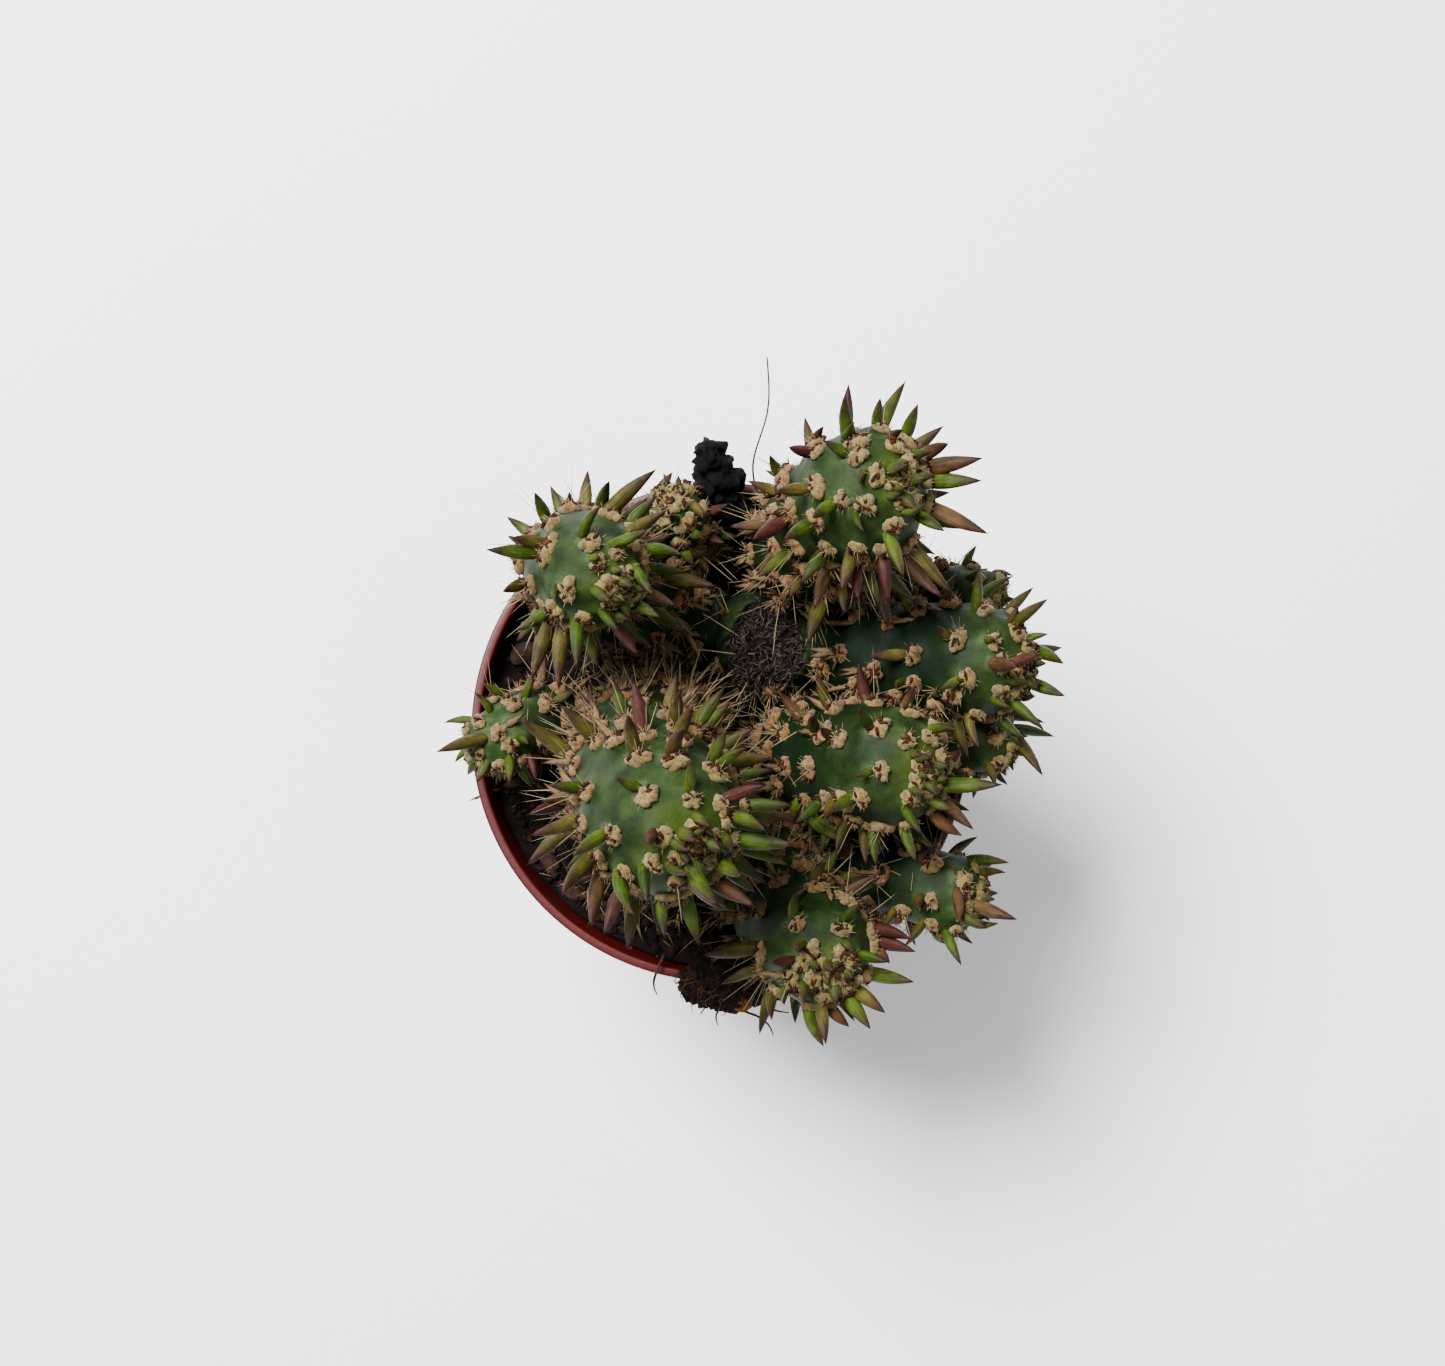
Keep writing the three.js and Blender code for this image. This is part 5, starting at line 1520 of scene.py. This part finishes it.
def surfaces_of(made):
    """The surfaces that litter can lie on, to be searched from above."""
    bm = bmesh.new()
    for one in made:
        bm.from_mesh(one.data)
    tree = BVHTree.FromBMesh(bm)
    bm.free()
    return tree


def met(ground, start, way):
    """The surface that a line meets first: a place and the way it faces, or None."""
    place, normal, _, _ = ground.ray_cast(Vector(start) * MM, Vector(way))
    return None if place is None else (np.array(place) / MM, np.array(normal))


def seen_on(ground, px, py):
    """The surface that the photograph shows at a pixel."""
    return met(ground, CAMERA_PLACE, sight_line(px, py))


# Litter that has caught between the stems: the corners of each patch in the photograph's pixels, and how
# many dried leaves, fine straws and long spines lie in it
LITTER = {
    "west_of_the_stump": (672, 610, 722, 700, 8, 34, 6),
    "south_of_the_stump": (700, 680, 800, 735, 16, 40, 12),
    "east_of_the_stump": (790, 600, 835, 690, 4, 10, 3),
    "between_front_and_right": (735, 735, 812, 815, 22, 50, 16),
    "below_the_right_shoot": (800, 795, 885, 900, 26, 56, 18),
    "right_of_the_fore_shoot": (850, 865, 930, 905, 8, 16, 8),
    "under_the_front_shoot": (590, 880, 740, 950, 9, 40, 8),
    "left_of_the_front_shoot": (545, 780, 600, 900, 6, 24, 6),
    "under_the_left_shoot": (545, 640, 690, 705, 20, 40, 8),
    "between_the_right_shoots": (850, 690, 960, 712, 10, 20, 5),
    "under_the_back_shoot": (770, 575, 930, 630, 16, 30, 8),
    "north_west_of_the_stump": (668, 568, 735, 618, 14, 40, 14),
    "left_offset": (478, 740, 530, 800, 5, 16, 4),
}

# Long spines that show, by the pixels of the root and the point
LONG_SPINES = [
    (750, 678, 728, 715), (790, 720, 765, 742), (803, 728, 770, 748), (761, 705, 760, 735),
    (880, 865, 905, 858), (885, 868, 918, 883), (872, 880, 893, 900), (680, 895, 665, 912),
    (680, 905, 675, 930), (768, 903, 745, 870), (745, 640, 700, 612), (742, 655, 693, 648),
    (738, 672, 696, 690), (782, 700, 808, 742), (840, 700, 812, 670), (700, 700, 735, 668),
]


def litter_pieces(rng, ground):
    """Dried leaves, straws and spines that lie on the stems and the peat."""
    dried, straws, spines = (new_pile() for _ in range(3))
    for left, top, right, bottom, leaves, fine, long in LITTER.values():
        for k in range(leaves + fine + long):
            hit = seen_on(ground, rng.uniform(left, right), rng.uniform(top, bottom))
            spin = rng.normal(size=3)
            size, tone, age = rng.uniform(size=3)
            if hit is None or hit[0][2] < SOIL_LEVEL - 3:
                continue
            place, normal = hit
            aim = unit(unit(spin - normal * (spin @ normal)) + normal * (0.15 + 0.5 * size))
            if k < leaves:
                half = 0.3 + 0.4 * tone
                lying = stood(place + normal * 0.4, aim, normal, half, 3.2 + 3.4 * size, half * 0.7)
                copy_into(dried, DRIED[k % 4], lying, tone, age)
            elif k < leaves + fine:
                lying = stood(place, aim, normal, 0.11, 1.8 + 3.2 * size)
                copy_into(straws, BRISTLES[k % 3], lying, tone, age)
            else:
                lying = stood(place, aim, normal, 0.08, 5 + 4 * size)
                copy_into(spines, SPINES[k % 3], lying, tone)
    for k, (px, py, tip_px, tip_py) in enumerate(LONG_SPINES):
        place = seen_on(ground, px, py)[0]
        ray = sight_line(tip_px, tip_py)
        end = CAMERA_PLACE + ray * ((place[2] + 3 - CAMERA_PLACE[2]) / ray[2])
        reach = end - place
        lying = stood(place, reach, (0.2, 0.3, 1), 0.12, np.linalg.norm(reach))
        copy_into(spines, SPINES[k % 2], lying, 0.8)
    piece("dried_litter", dried, WITHERED)
    piece("straw_litter", straws, BRISTLE)
    piece("fallen_spines", spines, SPINE)


def on_disc(rng, radius):
    """A spot by chance on a round bed."""
    turn = rng.uniform(0, 2 * math.pi)
    r = radius * math.sqrt(rng.uniform(0, 1))
    return r * math.cos(turn), r * math.sin(turn)


def crumb_pieces(rng):
    """Loose crumbs on the bed and on the clump, and flakes of bark among them."""
    crumbs = new_pile()
    flakes = new_pile()
    for k in range(CRUMBS_ON_BED):
        x, y = on_disc(rng, CRUMB_REACH)
        size = 0.3 + 0.9 * rng.uniform() ** 3
        place = (x, y, soil_surface(x, y) + 0.2 * size)
        add_crumb(crumbs, rng, place, size, k)
    for k in range(CRUMBS_ON_CLUMP):
        turn = rng.uniform(0, 2 * math.pi)
        reach = math.sqrt(rng.uniform(0, 1)) * 0.97
        up = math.sqrt(max(0, 1 - reach**2))
        place = (
            SPILL["x"] + reach * math.cos(turn) * SPILL["length"],
            SPILL["y"] + reach * math.sin(turn) * SPILL["width"],
            CLUMP_FOOT + up * SPILL["height"],
        )
        add_crumb(crumbs, rng, place, 0.3 + 0.8 * rng.uniform() ** 2, k)
    for k in range(BARK_FLAKES):
        x, y = on_disc(rng, BED_REACH)
        size = 0.7 + 0.9 * rng.uniform()
        aim = unit(np.array([rng.normal(), rng.normal(), 2.5]))
        lying = stood((x, y, soil_surface(x, y) + 0.3), aim, (1, 0.2, 0), size, 0.3 * size, 1.7 * size)
        copy_into(flakes, CRUMBS[k % 5], lying, rng.uniform())
    piece("peat_crumbs", crumbs, CRUMB)
    piece("bark_flakes", flakes, BARK)


def add_crumb(crumbs, rng, place, size, k):
    """One crumb of peat, turned by chance."""
    aim = unit(rng.normal(size=3))
    towards = (0.3, 0.5, 0.8)
    copy_into(crumbs, CRUMBS[k % 5], stood(place, aim, towards, size, size * rng.uniform(0.5, 1), size),
              rng.uniform())


def root_piece(rng):
    """Fine dead roots: short ones all over the peat and the clump, and those that stand out at the front."""
    paths = []
    radii = []
    for _ in range(ROOTS_ON_BED):
        x, y = on_disc(rng, BED_REACH)
        heading = rng.uniform(0, 2 * math.pi)
        points = []
        for _ in range(5):
            points.append((x, y, soil_surface(x, y) + rng.uniform(0.1, 0.9)))
            heading += rng.normal() * 0.7
            x = min(BED_REACH, max(-BED_REACH, x + 1.4 * math.cos(heading)))
            y = min(BED_REACH, max(-BED_REACH, y + 1.4 * math.sin(heading)))
            if math.hypot(x, y) > 39:
                break
        if len(points) > 2:
            paths.append(smoothed(points, 9))
            radii.append((0.12, 0.05))
    for _ in range(ROOTS_ON_CLUMP):
        turn = rng.uniform(0, 2 * math.pi)
        reach = math.sqrt(rng.uniform(0, 1))
        up = math.sqrt(1 - reach**2) * SPILL["height"]
        x = SPILL["x"] + reach * math.cos(turn) * SPILL["length"]
        y = SPILL["y"] + reach * math.sin(turn) * SPILL["width"]
        heading = rng.uniform(0, 2 * math.pi)
        points = []
        for _ in range(5):
            points.append((x, y, CLUMP_FOOT + up + rng.uniform(0, 0.8)))
            heading += 0.8 * rng.normal()
            x += 0.8 * math.cos(heading)
            y += 0.8 * math.sin(heading)
        paths.append(smoothed(points, 9))
        radii.append((0.13, 0.05))
    for points in FRONT_ROOTS:
        paths.append(smoothed(points, 12))
        radii.append((0.3, 0.1))
    piece("dead_roots", strands("dead_roots", paths, radii), ROOT_TAN)


# The roots that stand out of the clump and over the rim
FRONT_ROOTS = [
    [(-9.5, -37.5, 75.5), (-11.1, -41.1, 77), (-11.3, -43.0, 76.6), (-10.8, -44.5, 75.6)],
    [(0.8, -43.5, 79), (-0.1, -46.2, 78.6), (-0.8, -47.8, 77.6), (-0.5, -49.6, 76.2)],
    [(1.0, -43.0, 79), (3.3, -46.4, 78.6), (6.5, -48.0, 77.6), (8.2, -49.6, 76.8), (8.9, -51.3, 76)],
    [(-4, -42, 78.6), (-2.5, -45.5, 78.2), (-3.4, -47.6, 77)],
    [(6, -43, 78.6), (8.6, -46.5, 77.8), (11.5, -47.4, 76.8)],
]


def stump_piece():
    """The cut-back stem: a barrel of skin with a ragged, sunken scab on top."""
    r = STUMP["radius"]
    top = STUMP["top"]
    outline = [
        (0, STUMP["foot"]), (0.35 * r, STUMP["foot"]), (0.8 * r, 60), (r, 71), (1.06 * r, 79),
        (1.02 * r, top - 3.6), (0.93 * r, top - 1.6), (0.78 * r, top - 0.5), (0.5 * r, top - 0.2),
        (0, top - 0.2),
    ]
    profile = smoothed([(a, 0, b) for a, b in outline], 130)
    bm = turned([(0 if k in (0, 129) else max(0.02, p[0]), p[2]) for k, p in enumerate(profile)], 110)
    high = bm.verts.layers.float.new("high")
    for v in bm.verts:
        x, y, z = v.co
        angle = math.atan2(y, x)
        rib = 1 + 0.04 * math.cos(3 * angle + 0.3 * z)
        on_top = smoothstep(z, top - 4.5, top - 1.5)
        ragged = 0.22 * noise.fractal(Vector((x, y, 0)) * 0.35, 1.0, 2.0, 3)
        reach = math.hypot((x - SCAB["x"]) / SCAB["wide"], (y - SCAB["y"]) / SCAB["long"]) + ragged
        scab = float((1 - smoothstep(reach, 0.86, 1.06)) * on_top)
        slump = float(on_top * (0.9 * noise.noise(Vector((x, y, 3)) * 0.22) - 0.9 * smoothstep(-y, 3.5, 9)))
        rough = (0.25 + 0.75 * scab) * noise.fractal(Vector((x, y, z)) * 0.7, 1.0, 2.0, 4)
        dent = 1 + 0.035 * noise.noise(Vector((x, y, z)) * 0.3)
        v.co.x = x * (rib * dent + 0.02 * rough) + stump_x(z)
        v.co.y = y * (rib * dent + 0.02 * rough) + STUMP["y"]
        v.co.z = z + slump + scab * (0.75 * rough - 1.0)
        v[high] = scab
    bmesh.ops.recalc_face_normals(bm, faces=bm.faces)
    return piece("cut_back_stem", bm, OLD_SKIN, ["main_stem"])


def dress_stump(rng, ground):
    """Wool, spines, dried leaves and the scab's curled shreds."""
    wool, tufts, pips, spines, dried, shreds = (new_pile() for _ in range(6))
    for areole in stump_seats:
        add_wool(wool, tufts, pips, STUMP_SEED, areole.i, areole.seat, 1, 1)
        add_spines(spines, STUMP_SEED, areole.i, areole, "main_stem", 3)
        add_dried(dried, "main_stem", STUMP_SEED, areole.i, areole.seat, 7)
    curls = [curl_shape(f"curl_{k}", rng) for k in range(6)]
    for k in range(SCAB_SHREDS):
        turn = rng.uniform(0, 2 * math.pi)
        out = 0.98 * rng.uniform() ** 0.42
        x = SCAB["x"] + out * math.cos(turn) * SCAB["wide"] + 0.7
        y = SCAB["y"] + out * math.sin(turn) * SCAB["long"] - 0.5
        hit = met(ground, (x + STUMP["x"], y + STUMP["y"], 150), (0, 0, -1))
        if hit is None:
            continue
        place, normal = hit
        aim = unit(np.array([rng.normal(), rng.normal(), 0.35]))
        size = rng.uniform(0.6, 1.5)
        copy_into(shreds, curls[k % 6], stood(place + normal * 0.15, aim, rng.normal(size=3), size, size),
                  rng.uniform())
    piece("wool_of_main_stem", wool, WOOL)
    piece("bristles_of_main_stem", tufts, BRISTLE)
    piece("scales_of_main_stem", pips, PIP)
    piece("spines_of_main_stem", spines, SPINE)
    if len(dried.verts):
        piece("dried_leaves_of_main_stem", dried, WITHERED)
    piece("scab_shreds", shreds, SHRED)


def curl_shape(name, rng):
    """A short curled shred."""
    heading = unit(rng.normal(size=3))
    bend = unit(rng.normal(size=3))
    points = [np.zeros(3)]
    for _ in range(6):
        heading = unit(heading + 0.65 * np.cross(bend, heading) + 0.12 * rng.normal(size=3))
        points.append(points[-1] + 0.42 * heading)
    bm = strands(name, [points], [(0.11, 0.04)], 0)
    along = bm.verts.layers.float.new("along")
    for v in bm.verts:
        v[along] = rng.uniform(0, 1)
    return kept(name, bm)


def stub_piece():
    """The blackened dead shoot: knobbly, cracked and bent over the rim, with a twig beside it."""
    step = stub_line.length / (len(STUB_RADII) - 1)
    heights = np.linspace(0, stub_line.length, 70)
    widths = np.interp(heights, [k * step for k in range(len(STUB_RADII))], STUB_RADII)
    end = np.sqrt(np.maximum(0, 1 - (np.maximum(0, heights - stub_line.length + 1.6) / 1.6) ** 2))
    profile = [(0, 0)] + [(1, h) for h in heights[:-1]] + [(0, stub_line.length)]
    bm = turned(profile, 40)
    for v in bm.verts:
        x, y, h = v.co
        out = math.hypot(x, y)
        angle = math.atan2(y, x)
        width = np.interp(h, heights, widths * (0.25 + 0.75 * end)) * out
        point, _, across, over = (part[0] for part in stub_line.at(h))
        knobs = 1 + 0.12 * math.sin(1.7 * h + 2.6 * angle) - 0.12 * noise.noise(Vector((h * 0.5, angle, 0)))
        outward = across * math.cos(angle) + over * math.sin(angle)
        rough = 1.15 * noise.fractal(Vector(point + outward * 2) * 0.8, 0.85, 2.2, 5) if out > 0.5 else 0
        v.co = Vector(point + outward * (width * knobs + rough * out))
    bmesh.ops.recalc_face_normals(bm, faces=bm.faces)
    bm.from_mesh(twig_mesh())
    piece("dead_shoot", bm, DEAD, ["dead_stub"])


def twig_mesh():
    """The bowed, knobbly twig beside the dead shoot."""
    foot = np.array(TWIG["foot"], float)
    aim = unit(np.array(TWIG["aim"], float))
    bow = np.array([0.5, 0, 0])
    points = [foot + aim * TWIG["length"] * t + bow * math.sin(3 * t) for t in np.linspace(-0.15, 1, 9)]
    bm = strands("twig", [points], [(TWIG["radius"], 0.62 * TWIG["radius"])], 3)
    for v in bm.verts:
        v.co += Vector((1, 1, 0)) * 0.22 * noise.noise(v.co * 1.4)
    return as_mesh("twig", bm)


def fibre_piece():
    """The long dry fibre, slightly wavy, that stands out over the back rim."""
    path = smoothed(FIBRE_PATH, 60)
    wave = np.linspace(0, 1, 60)
    path[:, 0] += 0.25 * np.sin(9 * wave) * np.minimum(1, 6 * wave)
    bm = strands("fibre", [path], [(FIBRE_RADIUS, 0.6 * FIBRE_RADIUS)], 2)
    piece("long_dry_fibre", bm, DRY_FIBRE, ["dry_fibre"])


def chip_piece(chip, k):
    """A chip of wood or grit: a lump with flat faces, its edges worn."""
    bm = bmesh.new()
    bmesh.ops.create_icosphere(bm, subdivisions=2, radius=1)
    for v in bm.verts:
        crag = 1 + 0.3 * noise.noise(v.co * 1.2 + Vector((k * 3.7, 0, 0)))
        v.co = Vector((v.co.x * chip["half"][0], v.co.y * chip["half"][1], v.co.z * chip["half"][2])) * crag
    bmesh.ops.subdivide_edges(bm, edges=bm.edges, cuts=1, use_grid_fill=True)
    for v in bm.verts:
        v.co *= 1 + 0.05 * noise.fractal(v.co * 1.6, 1.0, 2.0, 3)
    on_clump = chip["name"] == "wood_chip"
    z = POT_HEIGHT + 3.6 if on_clump else soil_height(chip["x"], chip["y"]) + 0.3
    bmesh.ops.rotate(bm, verts=bm.verts, cent=(0, 0, 0), matrix=Matrix.Rotation(chip["turn"], 3, "Z"))
    bmesh.ops.translate(bm, verts=bm.verts, vec=(chip["x"], chip["y"], z))
    piece(f"chip_{chip['name']}", bm, WOOD if on_clump else GRIT,
          [chip["name"]])


# Making all of it, from the pot up
rng = np.random.default_rng(LITTER_SEED)
pot_piece()
ground = surfaces_of([soil_piece(), stump_piece()] + [skin_piece(shoot) for shoot in shoots])
crumb_pieces(rng)
root_piece(rng)
dress_stump(rng, ground)
for shoot in shoots:
    dress_shoot(shoot)
litter_pieces(rng, ground)
stub_piece()
fibre_piece()
for k, chip in enumerate(CHIPS):
    chip_piece(chip, k)


# Floor, light and camera

def stage():
    """A plain pale floor."""
    bm = bmesh.new()
    bmesh.ops.create_grid(bm, x_segments=1, y_segments=1, size=3)
    floor = linked("floor", as_mesh("floor", bm))
    material, _, shader = new_material("pale_floor", 0.9)
    shader.inputs["Base Color"].default_value = (0.9, 0.9, 0.9, 1)
    floor.data.materials.append(material)


def soft_light(name, place, size, power):
    """A round white lamp that faces the pot."""
    light = bpy.data.lights.new(name, "AREA")
    light.shape = "DISK"
    light.size = size
    light.energy = power
    holder = linked(name, light)
    holder.location = place
    holder.rotation_euler = (Vector((0, 0, 0.08)) - Vector(place)).to_track_quat("-Z", "Y").to_euler()


def lighting(surround):
    """A white surround, a window at the back left and a weak fill at the front right."""
    world = bpy.data.worlds.new("studio")
    bpy.context.scene.world = world
    world.use_nodes = True
    back = world.node_tree.nodes["Background"]
    back.inputs["Color"].default_value = (1.0, 1.0, 1.0, 1)
    back.inputs["Strength"].default_value = surround
    soft_light("window", place=(-0.38, 0.46, 1.0), size=0.5, power=56.0)
    soft_light("fill", place=(0.8, -0.5, 0.9), size=0.9, power=4.0)


def camera():
    """Straight down over the pot, 380 mm above the rim."""
    lens = bpy.data.cameras.new("camera")
    lens.sensor_width = 36
    lens.lens = LENS
    lens.clip_start = 0.01
    holder = linked("camera", lens)
    holder.location = Vector(CAMERA_PLACE) * MM
    bpy.context.scene.camera = holder


stage()
lighting(surround=0.6)
camera()
